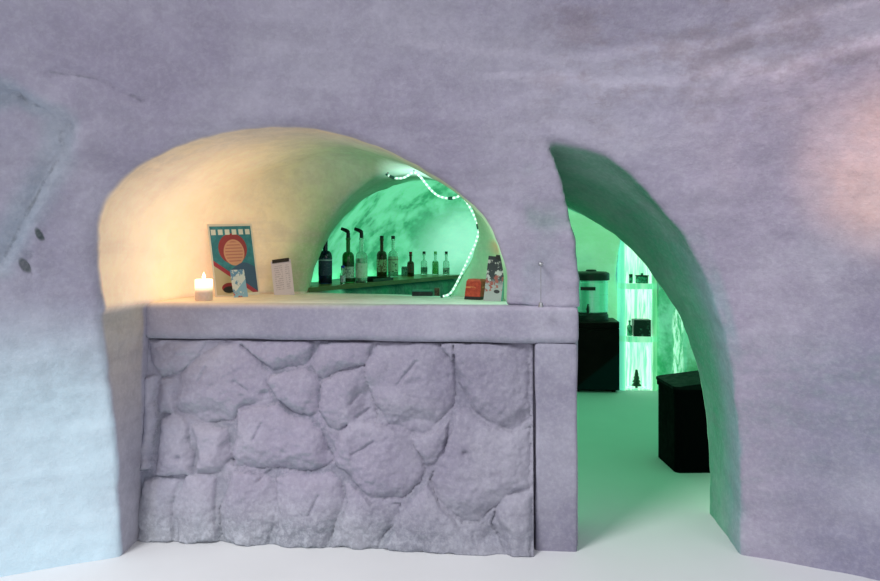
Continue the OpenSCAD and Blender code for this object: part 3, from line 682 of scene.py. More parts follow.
def snow_material(name, carved=False, marked=False):
    """Snow: its own texture, with the coloured lamps' light and shade painted into its colour and into its
    glow.
    """
    n = Nodes(name)
    x, y, z = n.axis("X"), n.axis("Y"), n.axis("Z")
    mottle, blotch, cloudy = n.noise(1.7, 5, 0.6), n.noise(5.5, 4, 0.6), n.noise(13, 5, 0.7)
    strata, patchy = n.noise(2.2, 4, 0.6, n.stretch(0.5, 0.5, 4.5)), n.noise(2.6, 4, 0.7)
    broken = n.ramp(n.noise(9, 4, 0.7, n.stretch(3.0, 3.0, 0.7)), 0.42, 0.60)

    # How far a point lies behind the guests' wall, from the chamber's wall and inside the heap.
    behind = n.away_from((0, GUEST_Y, 0)) - GUEST_R
    lifted = n.vector("ADD", n.vector("MULTIPLY", n.place, (1, 1, 0)), n.combine(z=n.most(z - CHAMBER.z, 0.0)))
    room_gap = n.length(n.vector("SUBTRACT", lifted, (CHAMBER.x, CHAMBER.y - MID_Y, 0))) - CHAMBER_R
    on_shell = n.ramp(behind, 0.25, 0.32) * n.ramp(n.away_from((0, MOUND_Y, 0)) - MOUND_R, -0.16, -0.08)
    buried = (1.0 - on_shell) * n.ramp(y, 1.7, 1.5)
    on_wall = n.ramp(behind, 0.03, 0.0)
    rim = behind - n.ramp(x, -1.0, -0.4, 0.0, 0.014)

    # The guests' wall, with light and shade painted in: blue and pale painted light low on the left, painted
    # shade and pinkish painted light on the right, one warm painted spot of light.
    painted_blue_share = n.math("MULTIPLY", n.ramp(x, -1.2, -2.3), n.ramp(z, 1.3, 0.2) + 0.35, clamp=True)
    shaded = n.ramp(x, 0.90, 1.4) * n.ramp(z, 1.6, 0.6, 0.0, 0.75)
    painted_bright_share = n.ramp(x, -1.25, -1.75) * n.ramp(z, 1.15, 0.55)

    # The alcove, all painted light: an olive glow, leaf green light towards the hatch, cream candle light,
    # paler green high by the hatch, a dark green painted shade low at its right and an orange painted spot of
    # light.
    arch = n.length(n.combine((x - ARCH_X) / ARCH_LEFT, 0.0, (z - TOP_Z) / (ARCH_CROWN - TOP_Z)))
    in_alcove = (n.ramp(rim, 0.010, 0.034) * n.span(z, 1.02, 1.08, 1.80, 1.86) * buried
                 * n.span(x, ALC_L - 0.03, ALC_L + 0.01, 0.04, 0.10) * n.ramp(y, 0.9, 0.7)
                 * n.most(n.ramp(arch, 1.16, 1.10), n.ramp(x, -1.2, -1.1)))
    from_candle = n.away_from((-1.57, 0.13, 1.25), (1.0, 1.0, 0.75))
    glow = n.coats(ALCOVE_PAINTED_GLOW, (n.ramp(n.away_from((-0.42, 0.62, 1.35)), 1.15, 0.5), HATCH_PAINTED_LIGHT),
                   (n.ramp(from_candle, 1.0, 0.12), CANDLE_PAINTED_LIGHT),
                   (n.ramp(x, -0.30, -0.10) * n.ramp(z, 1.55, 1.35), (0.60, 0.92, 0.58)),
                   (n.ramp(x, -0.02, 0.03) * n.ramp(z, 1.30, 1.18), (0.05, 0.30, 0.12)),
                   (n.ramp(n.away_from((-0.02, 0.34, 1.30), (0.6, 0.4, 1.0)), 0.055, 0.015),
                    (0.95, 0.48, 0.22)))
    # The arch's lip, low on the left: painted warm light, stronger higher up.
    lip_painted_warm_light = (n.span(x, ALC_L - 0.05, ALC_L, ALC_L + 0.09, ALC_L + 0.12) * n.ramp(rim, 0.008, 0.04)
               * n.ramp(y, 0.0, -0.03) * n.ramp(z, 0.35, 1.0, 0.15, 0.85) * n.ramp(z, 1.08, 1.02))
    # The counter's top: painted light, warm on the left by the candle, greener towards the hatch on the right.
    slab_top = n.span(z, 1.035, 1.043, 1.052, 1.056) * n.span(y, 0.03, 0.09, 0.9, 1.0) * n.ramp(x, 0.10, 0.05)
    slab_painted_light = n.coats((0.90, 0.74, 0.50), (n.ramp(x, -1.3, -0.9), (0.80, 0.78, 0.72)),
                        (n.ramp(x, -0.8, -0.3), (0.70, 0.95, 0.84)))

    # The doorway's passage and the hatch's reveal: the chamber's green light painted in, with painted shade
    # high in the passage.
    bow = n.length(n.combine((x - 0.16) / 0.86, 0.0, n.most(z - 0.3, 0.0) / 1.48))
    in_door = (n.ramp(behind, 0.0, 0.02) * n.span(x, 0.07, 0.12, 1.35, 1.45) * n.ramp(room_gap, 0.98, 0.88)
               * buried * n.ramp(z, 1.90, 1.84) * n.ramp(bow, 1.04, 1.005))
    reveal = n.coats(REVEAL_FRONT_PAINTED_LIGHT, (n.ramp(z, 1.05, 1.45), REVEAL_HIGH_PAINTED_SHADE),
                     (n.ramp(behind, 0.02, 0.30), REVEAL_DEEP_PAINTED_LIGHT))
    in_hatch = (n.ramp(room_gap, 0.50, 0.38) * n.ramp(x, 0.10, 0.04) * n.ramp(behind, 0.30, 0.42)
                * n.span(z, 1.056, 1.064, 1.84, 1.90) * buried)
    hatch_green_painted_light = n.mix(n.ramp(room_gap, 0.35, 0.1), (0.10, 0.36, 0.16), (0.20, 0.66, 0.40))

    # The chamber: patchy green light, brightest at the rear left and by the niche, with a lit strip.
    in_room = n.ramp(room_gap, n.ramp(x, 0.2, 0.5, 0.14, 0.035), 0.0) * n.ramp(behind, 0.0, 0.05)
    # Snow standing inside the chamber, such as the bench: painted dark green shade.
    inner = n.ramp(room_gap, -0.03, -0.10) * n.ramp(y, 0.66, 0.72)
    strip = (n.span(x, 1.50, 1.52, 1.57, 1.60) * n.ramp(y, 3.1, 3.2)
             * n.ramp(z - x * 0.6, -0.09, -0.20))
    lit = n.coats((0.09, 0.55, 0.29), (n.ramp(patchy, 0.40, 0.60), (0.40, 0.92, 0.62)),
                  (n.ramp(blotch, 0.48, 0.64, 0.0, 0.5), (0.52, 0.92, 0.68)),
                  (n.span(x, 0.45, 0.65, 1.2, 1.35), (0.48, 0.86, 0.58)),
                  (n.ramp(n.away_from((-0.36, 3.42, 1.30)), 0.75, 0.10, 0.0, 0.95), (0.78, 1.0, 0.96)),
                  (n.ramp(x, 1.34, 1.42) * n.ramp(y, 2.9, 3.1), (0.03, 0.40, 0.14)),
                  (strip, n.mix(broken, (0.12, 0.50, 0.26), (0.62, 1.0, 0.80))),
                  (n.ramp(x, 1.60, 1.62) * n.ramp(z, 0.50, 0.44) * n.ramp(y, 3.0, 3.1), (0.12, 0.26, 0.03)))
    rope_glow = (n.ramp(n.away_from((-0.40, 0.60, 1.68), (1.0, 0.7, 1.1)), 0.27, 0.05)
                 * n.ramp(behind, 0.30, 0.42))

    # Pinkish painted light, mottled, high on the right of the guests' wall.
    painted_pink_share = n.ramp(x, 0.5, 1.2) * n.ramp(z, 1.3, 1.7) * on_wall * n.ramp(mottle, 0.4, 0.6, 0.1, 0.5)
    # Painted shade on faces that turn down, under the counter's slab and on the boulders, grainy.
    under = (n.ramp(n.upward("TexCoord", "Normal"), 0.0, -0.4, 0.0, 0.65) * n.ramp(y, 0.225, 0.075)
             * n.ramp(z, 1.0, 0.86) * n.ramp(n.noise(30, 4, 0.7), 0.35, 0.65, 0.25, 0.9))
    layers = [
        (n.ramp(x, 0.5, 2.2), PINK_PAINTED_LIGHT), (painted_blue_share, BLUE_PAINTED_LIGHT), (n.ramp(x, 0.85, 1.5, 0.0, 0.62), (0.25, 0.23, 0.31)),
        (shaded * on_wall, (0.22, 0.22, 0.32)), (painted_bright_share * on_wall, (0.66, 0.86, 0.96)),
        (n.ramp(n.away_from((1.42, -0.47, 1.60)), 0.45, 0.05, 0.0, 0.95), WARM_PAINTED_LIGHT),
        (n.ramp(behind, 0.3, 0.395), OUTSIDE), (in_alcove, glow), (lip_painted_warm_light, (0.50, 0.43, 0.34)),
        (in_door, reveal), (in_hatch, hatch_green_painted_light), (in_room, lit),
        (inner, n.mix(n.ramp(blotch, 0.4, 0.65), (0.005, 0.07, 0.04), (0.02, 0.22, 0.11))),
        (rope_glow, (0.75, 0.98, 0.86)), (slab_top, slab_painted_light), (painted_pink_share, (0.62, 0.42, 0.52)),
        (under, (0.22, 0.28, 0.31))]
    if marked:
        ledge = line_distance(n, x, z, [(-1.53, 1.745), (-1.575, 1.631), (-1.695, 1.458), (-1.831, 1.237)])
        step_up = line_distance(n, x, z, [(-1.75, 1.77), (-1.63, 1.823), (-1.513, 1.739)])
        crack = line_distance(n, x, z, [(-1.508, 1.892), (-1.40, 1.885), (-1.282, 1.828)])
        sway = (cloudy - 0.5) * 0.05
        near_wall = n.ramp(behind, 0.10, 0.05) * n.ramp(y, 0.6, 0.4)
        band = n.most(n.ramp(ledge + sway, 0.075, 0.02), n.ramp(step_up + sway, 0.06, 0.01))
        near = n.least(n.least(ledge, step_up), crack + 0.002)
        line = n.ramp(near + sway * 0.45, 0.011, 0.001) * n.ramp(n.noise(10, 4, 0.7), 0.40, 0.60)
        hole_painted_shade = n.most(n.ramp(n.away_from((-1.692, -0.56, 1.350), (1.0, 0.05, 0.36)), 0.011, 0.006),
                      n.ramp(n.away_from((-1.757, -0.55, 1.235), (1.0, 0.05, 0.40)), 0.014, 0.008))
        # Painted shade: a darker blue-grey band along the ledges, dark lines along the cracks and dark holes.
        layers += [(band * 0.45 * near_wall, (0.24, 0.36, 0.42)),
                   (n.most(line * 0.60, hole_painted_shade) * near_wall, (0.06, 0.08, 0.09))]
    if carved:
        frost = n.noise(45, 5, 0.75)
        low_frost_grey = n.mix(n.ramp(frost, 0.42, 0.62), (0.19, 0.22, 0.24), (0.42, 0.46, 0.50))
        # Dark frost grain, with painted shade in the boulders' joints; painted shade growing towards the right;
        # grey frost grain, stronger towards the floor and the left.
        layers += [(n.ramp(frost + n.stored("joint") * 0.30, 0.62, 0.82, 0.0, 0.55), (0.15, 0.17, 0.22)),
                   (n.ramp(x, -1.1, 0.1, 0.0, 0.80), (0.19, 0.18, 0.25)),
                   (n.ramp(z, 0.30, 0.0) * n.ramp(x, 0.1, -1.0, 0.35, 0.7), low_frost_grey)]
    # Painted shade on the counter's post and on the slab's front face.
    post = (n.between(x, POST_X, DOOR_LEFT + 0.01, 0.008) * n.ramp(y, 0.1, 0.05)
            * n.ramp(z, 0.90, 0.88, 0.0, 0.9))
    edge = (n.ramp(y, 0.03, 0.01) * n.between(z, SLAB_Z - 0.002, TOP_Z - 0.02, 0.006)
            * n.span(x, -1.5, -1.3, 0.32, 0.34))
    # Darker mottled patches high up, right of the alcove.
    upper_dark_patches = (n.ramp(n.noise(4.5, 5, 0.7, n.stretch(1.0, 1.0, 2.0)), 0.46, 0.64, 0.0, 0.5)
              * n.ramp(z, 1.60, 1.90) * n.ramp(x, -0.1, 0.4) * n.ramp(behind, 0.05, 0.02))
    layers += [
        (post, (0.215, 0.205, 0.285)), (edge * 0.30, (0.18, 0.20, 0.26)),
        (n.ramp(mottle, 0.40, 0.66, 0.0, 0.20), (0.75, 0.75, 0.82)),
        (n.ramp(strata, 0.5, 0.72, 0.0, 0.22), (0.20, 0.18, 0.24)),
        (n.ramp(cloudy, 0.38, 0.62, 0.16, 0.0), (0.16, 0.15, 0.19)), (upper_dark_patches, (0.25, 0.20, 0.23)),
        # Painted light again, low on the left of the guests' wall.
        (painted_bright_share * n.ramp(behind, 0.03, 0.0, 0.0, 0.6), (0.62, 0.80, 0.90)),
        (n.ramp(n.noise(55, 4, 0.7), 0.4, 0.7, 0.0, 0.08), (0.9, 0.9, 0.95))]

    # Painted glow: the snow itself gives off the light of the lamps behind it, green in the chamber, by the
    # rope and by the hatch, warm by the candle.
    lamps = n.coats(
        (0, 0, 0), (in_room, n.mix(n.ramp(patchy, 0.40, 0.60), (0.02, 0.17, 0.08), (0.11, 0.44, 0.26))),
        (n.span(x, 0.45, 0.65, 1.15, 1.30) * in_room * 0.8, (0.15, 0.38, 0.19)),
        (n.ramp(n.away_from((-0.36, 3.42, 1.28)), 0.60, 0.05, 0.0, 0.9) * in_room, (0.30, 0.66, 0.50)),
        (inner, (0.0, 0.02, 0.01)), (rope_glow, (0.50, 0.95, 0.75)),
        (in_alcove * n.ramp(x, -0.30, -0.14) * n.ramp(z, 1.62, 1.40), (0.07, 0.17, 0.08)),
        (in_alcove * n.ramp(from_candle, 0.98, 0.0), (0.66, 0.44, 0.26)),
        (strip * in_room, n.mix(broken, (0.05, 0.30, 0.14), (0.42, 0.80, 0.58))))
    normal = n.bump(n.noise(140, 3, 0.7), 0.5, 0.002, n.bump(n.noise(26, 5, 0.62), 0.5, 0.009))
    n.material.cycles.emission_sampling = "NONE"
    return n.set(color=n.coats(LAVENDER, *layers), rough=0.82, normal=normal, emit=lamps, power=1.0)


snow_look = snow_material("snow")
marked_look = snow_material("snow_with_cracks", marked=True)
carved_look = snow_material("carved_snow", carved=True)

FLOOR_PLANE = ((0, 0, 0), (0, 0, -1))


def before(axis, value):
    """The cut that keeps what lies before a value of an axis, 0 for x to 2 for z."""
    place, away = [0, 0, 0], [0, 0, 0]
    place[axis], away[axis] = value, 1
    return place, away


def past(axis, value):
    """The cut that keeps what lies past a value of an axis."""
    place, away = before(axis, value)
    return place, [-v for v in away]


def bearing(degrees, keep_left):
    """A cutting plane through the chamber's axis."""
    a = math.radians(degrees)
    side = 1 if keep_left else -1
    return ((CHAMBER.x, CHAMBER.y, 0), (side * math.sin(a), -side * math.cos(a), 0))


def meshed(low, high, step, shape=snow, rough=roughen):
    margin = 3 * step
    axes = [np.arange(a - margin, b + margin + step, step) for a, b in zip(low, high)]
    field = shape(axes[0][:, None, None], axes[1][None, :, None], axes[2][None, None, :])
    field = np.array(np.broadcast_to(field, [len(a) for a in axes]))
    # The grid's own border counts as air, so that the surface is closed and each later cut can be capped.
    for edge in (0, -1):
        field[edge] = np.maximum(field[edge], step)
        field[:, edge] = np.maximum(field[:, edge], step)
        field[:, :, edge] = np.maximum(field[:, :, edge], step)
    points, faces = surface(field, [a[0] for a in axes], step)
    points = rough(points, vertex_normals(points, faces))
    return points, faces, vertex_normals(points, faces)


def snow_piece(name, meshing, planes, nodes, look=None):
    """A piece of a meshed surface, cut at the planes."""
    mesh = clipped(name, *meshing, planes)
    shade(mesh)
    add_piece(name, mesh, look or snow_look, nodes)


def build_snow():
    back, front = before(1, SPLIT_Y), past(1, SPLIT_Y)
    for name, low, high, step, nodes, planes, look in (
            ("snow_wall_left", (-3.15, FRONT_Y, 0), (SPLIT_ARCH, SPLIT_Y, 3.0), 0.016, ["wall_left"],
             [before(0, SPLIT_ARCH), back, FLOOR_PLANE], marked_look),
            ("snow_bar_arch", (SPLIT_ARCH, FRONT_Y, 0), (SPLIT_PIER, SPLIT_Y, 3.15), 0.016,
             ["wall_over_bar", "alcove_vault"],
             [past(0, SPLIT_ARCH), before(0, SPLIT_PIER), back, FLOOR_PLANE], marked_look),
            ("snow_doorway", (SPLIT_PIER, FRONT_Y, 0.6), (SPLIT_DOOR, SPLIT_Y, 3.15), 0.016,
             ["pier", "wall_over_doorway"], [past(0, SPLIT_PIER), before(0, SPLIT_DOOR), back], snow_look),
            ("snow_wall_right", (SPLIT_DOOR, FRONT_Y, 0), (3.15, SPLIT_Y, 3.0), 0.018, ["wall_right"],
             [past(0, SPLIT_DOOR), back, FLOOR_PLANE], snow_look)):
        snow_piece(name, meshed(low, high, step), planes, nodes, look)
    rear = meshed((-3.0, SPLIT_Y, 0), (3.0, 4.68, 3.1), 0.03)
    for side, start, end in (
            ("left", 140, 215), ("rear_left", 88, 140), ("rear_right", 30, 88), ("right", -35, 30)):
        planes = [bearing(start, True), bearing(end, False), before(2, CROWN_Z), front, FLOOR_PLANE]
        snow_piece("snow_chamber_" + side, rear, planes, ["chamber_" + side])
    snow_piece("snow_chamber_crown", rear, [past(2, CROWN_Z), front, FLOOR_PLANE], ["chamber_crown"])


def build_counter():
    def dug(x, y, z):
        return -smin(passage(x, y, z), room(x, y, z), 0.03)

    def top(x, y, z):
        low, high = (ALC_L + 0.04, 0.034, SLAB_Z + 0.032), (SPLIT_JAMB, SPLIT_Y, TOP_Z - 0.032)
        body = slab(x, y, z, low, high) - 0.032
        return smax(body, dug(x, y, z), 0.03)

    def core(x, y, z):
        body = slab(x, y, z, (ALC_L + 0.01, CORE_Y, -0.3), (SPLIT_JAMB, SPLIT_Y, SLAB_Z + 0.02))
        return np.maximum(body, dug(x, y, z))

    def post(x, y, z):
        return slab(x, y, z, (POST_X + 0.018, 0.022, -0.3), (DOOR_LEFT - 0.022, 0.2, SLAB_Z - 0.008)) - 0.014

    def ledge(x, y, z):
        beside = -(x - EDGE_A[0]) * math.sin(EDGE_TURN) + (y - EDGE_A[1]) * math.cos(EDGE_TURN)
        body = smax(z - TOP_Z + 0.004 + 0 * x, 0.022 - beside + 0 * z, 0.03)
        body = np.maximum(body, np.maximum(0.702 - y, y - 3.297))
        return np.maximum(body, room(x, y, z) + 0.004)

    def worn(points, normals):
        flat = np.clip((points[:, 2] - TOP_Z + 0.02) / 0.012, 0, 1)
        move = 0.003 * noise(points, 0.3, 11) + 0.002 * noise(points, 0.1, 12) - 0.0045
        move = move * (1 - flat) - 0.001 * flat
        return points + normals * move[:, None]

    low, high = (ALC_L - 0.02, 0, 0), (SPLIT_JAMB + 0.02, SPLIT_Y, TOP_Z)
    snow_piece("counter_top", meshed(low, high, 0.012, top, worn), [], ["bar_top"])
    for name, low, high, step, shape, node in (
            ("counter_core", low, high, 0.025, core, "bar_core"),
            ("snow_bench", (-1.52, 0.70, 0), (0.05, 3.30, TOP_Z), 0.025, ledge, "worktop_ledge"),
            ("counter_post", (POST_X, 0, 0), (DOOR_LEFT, 0.2, SLAB_Z), 0.008, post, "bar_post")):
        snow_piece(name, meshed(low, high, step, shape, worn), [FLOOR_PLANE], [node])


# Outlines of the boulders in the counter's front, as X and Z, row by row from the upper left.
BOULDERS = [
    [(-1.60, 0.88), (-1.33, 0.88), (-1.36, 0.81), (-1.43, 0.745), (-1.53, 0.715), (-1.58, 0.79)],
    [(-1.53, 0.705), (-1.455, 0.715), (-1.475, 0.62), (-1.46, 0.56), (-1.53, 0.55), (-1.555, 0.60)],
    [(-1.33, 0.83), (-1.26, 0.86), (-1.17, 0.86), (-1.09, 0.80), (-1.035, 0.74), (-1.045, 0.70), (-1.01, 0.62),
     (-1.16, 0.585), (-1.19, 0.515), (-1.33, 0.505), (-1.45, 0.56), (-1.465, 0.63), (-1.44, 0.73),
     (-1.39, 0.79)],
    [(-1.24, 0.88), (-0.82, 0.88), (-0.87, 0.775), (-1.02, 0.745), (-1.08, 0.80), (-1.16, 0.865)],
    [(-1.03, 0.735), (-0.87, 0.765), (-0.83, 0.74), (-0.80, 0.70), (-0.81, 0.57), (-0.85, 0.545), (-0.92, 0.56),
     (-1.00, 0.62), (-1.04, 0.70)],
    [(-0.81, 0.88), (-0.56, 0.88), (-0.60, 0.79), (-0.72, 0.75), (-0.79, 0.705), (-0.86, 0.785)],
    [(-0.795, 0.70), (-0.72, 0.745), (-0.61, 0.77), (-0.575, 0.70), (-0.565, 0.64), (-0.53, 0.54),
     (-0.66, 0.53), (-0.71, 0.495), (-0.77, 0.505), (-0.80, 0.58)],
    [(-0.55, 0.88), (-0.28, 0.88), (-0.21, 0.79), (-0.195, 0.70), (-0.20, 0.61), (-0.30, 0.50), (-0.36, 0.475),
     (-0.42, 0.50), (-0.50, 0.52), (-0.57, 0.65), (-0.60, 0.76)],
    [(-0.265, 0.88), (-0.215, 0.88), (-0.215, 0.81)],
    [(-0.205, 0.88), (0.125, 0.88), (0.125, 0.56), (0.05, 0.505), (-0.05, 0.54), (-0.12, 0.585), (-0.19, 0.71)],
    [(-1.53, 0.535), (-1.46, 0.55), (-1.40, 0.52), (-1.39, 0.45), (-1.365, 0.38), (-1.37, 0.29), (-1.54, 0.28)],
    [(-1.395, 0.51), (-1.21, 0.50), (-1.205, 0.36), (-1.24, 0.30), (-1.355, 0.29), (-1.35, 0.38)],
    [(-1.175, 0.58), (-0.99, 0.61), (-0.93, 0.56), (-0.83, 0.54), (-0.775, 0.49), (-0.74, 0.37), (-0.77, 0.33),
     (-0.83, 0.305), (-0.92, 0.315), (-1.19, 0.32), (-1.20, 0.38), (-1.175, 0.46)],
    [(-0.70, 0.50), (-0.66, 0.525), (-0.53, 0.53), (-0.405, 0.49), (-0.345, 0.40), (-0.325, 0.33),
     (-0.34, 0.275), (-0.42, 0.21), (-0.56, 0.205), (-0.66, 0.29), (-0.72, 0.33), (-0.735, 0.43)],
    [(-0.385, 0.47), (-0.34, 0.475), (-0.29, 0.50), (-0.205, 0.58), (-0.25, 0.42), (-0.29, 0.355),
     (-0.325, 0.355)],
    [(-0.195, 0.60), (-0.145, 0.60), (-0.05, 0.53), (0.05, 0.495), (0.125, 0.52), (0.125, 0.27), (0.05, 0.255),
     (-0.03, 0.19), (-0.10, 0.12), (-0.17, 0.115), (-0.28, 0.22), (-0.31, 0.29), (-0.25, 0.41)],
    [(-1.19, 0.31), (-1.02, 0.295), (-0.98, 0.25), (-0.98, 0.12), (-1.02, 0.0), (-1.22, 0.0), (-1.25, 0.14)],
    [(-1.255, 0.285), (-1.40, 0.28), (-1.44, 0.17), (-1.42, 0.0), (-1.24, 0.0), (-1.26, 0.14)],
    [(-1.60, 0.27), (-1.42, 0.27), (-1.455, 0.16), (-1.44, 0.0), (-1.61, 0.0)],
    [(-1.00, 0.30), (-0.90, 0.305), (-0.76, 0.32), (-0.70, 0.295), (-0.68, 0.20), (-0.75, 0.0), (-0.99, 0.0),
     (-0.965, 0.14)],
    [(-0.69, 0.285), (-0.63, 0.25), (-0.56, 0.195), (-0.43, 0.195), (-0.46, 0.10), (-0.53, 0.0), (-0.73, 0.0),
     (-0.66, 0.19)],
    [(-0.32, 0.295), (-0.28, 0.21), (-0.17, 0.10), (-0.11, 0.09), (-0.10, 0.0), (-0.51, 0.0), (-0.45, 0.12)],
    [(0.04, 0.245), (0.125, 0.255), (0.125, 0.0), (0.02, 0.0), (-0.045, 0.12), (-0.02, 0.185)],
    [(-1.61, 0.70), (-1.565, 0.72), (-1.57, 0.60), (-1.545, 0.53), (-1.56, 0.30), (-1.61, 0.30)],
]
# Cracks and creases inside the boulders, from one end to the other.
CREASES = [
    [(-0.37, 0.80), (-0.42, 0.74), (-0.45, 0.70)],
    [(-1.055, 0.52), (-1.09, 0.45)],
    [(-0.555, 0.45), (-0.61, 0.415), (-0.65, 0.395)],
    [(-0.625, 0.655), (-0.66, 0.61)],
    [(-0.58, 0.585), (-0.635, 0.55)],
    [(-1.19, 0.70), (-1.13, 0.66)],
    [(-1.02, 0.31), (-1.06, 0.275)],
    [(-0.79, 0.22), (-0.83, 0.14)],
    [(-1.32, 0.76), (-1.35, 0.70)],
]
PITS = [(-1.055, 0.645, 0.016), (-0.155, 0.415, 0.012), (-0.05, 0.065, 0.035), (-1.43, 0.36, 0.012),
        (-1.20, 0.345, 0.015), (0.09, 0.58, 0.02)]


# The cut planes of the boulders: for each outline, the point where a plane starts to fall back,
# the direction in which it falls (0 to the right, 90 up) and its slope.
FACETS = [
    [(-1.50, 0.76, 260, 0.25), (-1.42, 0.80, 335, 0.16), (-1.55, 0.82, 190, 0.3)],
    [(-1.51, 0.64, 185, 0.5), (-1.485, 0.64, 5, 0.5), (-1.50, 0.60, 265, 0.3)],
    [(-1.18, 0.70, 12, 0.20), (-1.15, 0.72, 300, 0.17), (-1.20, 0.61, 262, 0.50), (-1.38, 0.68, 190, 0.26),
     (-1.33, 0.78, 118, 0.26), (-1.30, 0.64, 238, 0.13)],
    [(-0.93, 0.815, 277, 0.50), (-0.86, 0.83, 340, 0.3), (-1.12, 0.84, 200, 0.3)],
    [(-0.87, 0.66, 352, 0.34), (-0.92, 0.61, 262, 0.30), (-0.99, 0.68, 165, 0.2), (-0.93, 0.71, 80, 0.16)],
    [(-0.70, 0.80, 283, 0.42), (-0.63, 0.82, 350, 0.26), (-0.78, 0.82, 175, 0.3)],
    [(-0.665, 0.65, 355, 0.42), (-0.70, 0.72, 95, 0.25), (-0.74, 0.58, 255, 0.25), (-0.77, 0.64, 178, 0.3)],
    [(-0.40, 0.605, 272, 0.42), (-0.34, 0.68, 342, 0.22), (-0.52, 0.66, 205, 0.26), (-0.46, 0.80, 120, 0.22),
     (-0.30, 0.80, 20, 0.24)],
    [],
    [(0.03, 0.70, 2, 0.28), (0.04, 0.60, 312, 0.60), (-0.12, 0.72, 205, 0.30), (-0.04, 0.62, 262, 0.20)],
    [(-1.50, 0.42, 183, 0.25), (-1.415, 0.42, 5, 0.42), (-1.45, 0.48, 70, 0.18)],
    [(-1.255, 0.40, 0, 0.55), (-1.345, 0.40, 180, 0.5), (-1.30, 0.46, 88, 0.3), (-1.30, 0.32, 270, 0.5)],
    [(-1.06, 0.435, 258, 0.33), (-1.15, 0.50, 195, 0.30), (-0.81, 0.43, 352, 0.48), (-0.89, 0.50, 62, 0.30),
     (-0.88, 0.37, 285, 0.36), (-1.05, 0.56, 95, 0.2)],
    [(-0.50, 0.42, 350, 0.19), (-0.45, 0.305, 287, 0.42), (-0.68, 0.42, 178, 0.32), (-0.60, 0.33, 228, 0.26),
     (-0.52, 0.50, 85, 0.3)],
    [(-0.30, 0.46, 300, 0.2), (-0.26, 0.50, 20, 0.35)],
    [(-0.21, 0.42, 188, 0.30), (0.04, 0.40, 5, 0.34), (-0.04, 0.28, 292, 0.40), (-0.16, 0.24, 230, 0.30),
     (-0.10, 0.50, 70, 0.22)],
    [(-1.10, 0.20, 0, 0.25), (-1.14, 0.2, 180, 0.3)],
    [(-1.30, 0.16, 10, 0.3), (-1.36, 0.16, 175, 0.3)],
    [(-1.50, 0.14, 10, 0.3), (-1.54, 0.14, 185, 0.2)],
    [(-0.80, 0.18, 342, 0.28), (-0.90, 0.20, 190, 0.2), (-0.84, 0.27, 80, 0.3), (-0.86, 0.10, 262, 0.12)],
    [(-0.58, 0.14, 335, 0.30), (-0.62, 0.18, 160, 0.2), (-0.60, 0.08, 260, 0.16)],
    [(-0.36, 0.16, 150, 0.22), (-0.25, 0.16, 25, 0.26), (-0.30, 0.08, 268, 0.10)],
    [(0.05, 0.16, 178, 0.55), (0.08, 0.16, 5, 0.4), (0.06, 0.20, 90, 0.5)],
    [(-1.58, 0.5, 0, 0.5)],
]
JOINT_DEPTH, EDGE_DEPTH, FACET_DEPTH = 0.013, 0.009, 0.036


def boulder_depth(x, z):
    """How far the carved face lies behind the front's outermost plane."""
    spot = np.stack([x, 0 * x, z], 1)
    wobble = 0.009 * noise(spot, 0.07, 31) + 0.004 * noise(spot, 0.025, 32)
    sway = 0.03 * noise(spot, 0.14, 33)
    gap = np.full(x.shape, -1.0)
    face = np.full(x.shape, 0.030)
    for outline, planes in zip(BOULDERS, FACETS):
        inside = -outline_distance(outline, x, z) + wobble
        cut = np.full(x.shape, 0.0)
        for px, pz, degrees, slope in planes:
            a = math.radians(degrees)
            along = (x - px) * math.cos(a) + (z - pz) * math.sin(a) + sway
            cut = smax(cut, slope * along, 0.007)
        cut = np.minimum(cut, FACET_DEPTH + 0.15 * (cut - FACET_DEPTH))
        worn = EDGE_DEPTH * np.exp(-np.maximum(inside, 0) / 0.035)
        face = np.where(inside > 0, cut + worn, face)
        gap = np.maximum(gap, inside)
    joint = np.exp(-np.maximum(gap - 0.001, 0) / 0.008)
    deep = np.clip(0.55 + 0.8 * noise(spot, 0.16, 34) + 0.35 * noise(spot, 0.05, 35), 0.0, 1.3)
    joint = joint * deep
    out = face + JOINT_DEPTH * joint
    for path in CREASES:
        out = out + 0.010 * np.exp(-(path_distance(path, x, z) / 0.007) ** 2)
    for px, pz, r in PITS:
        out = out + 0.02 * np.exp(-(np.hypot(x - px, z - pz) / r) ** 2)
    for px, pz, r, depth in SCOOPS:
        out = out + depth * np.exp(-(np.hypot(x - px, (z - pz) * 0.7) / r) ** 4)
    return out, joint


# Shallow hollows cut in the boulders: place, reach and depth.
SCOOPS = [(-0.485, 0.72, 0.045, 0.012), (-0.61, 0.43, 0.05, 0.012), (-1.30, 0.41, 0.03, 0.007),
          (-0.62, 0.60, 0.05, 0.012), (-1.215, 0.40, 0.03, 0.014)]
FRONT_LEAN = [(0, -0.062), (0.12, -0.062), (0.547, -0.010), (0.883, 0.014)]


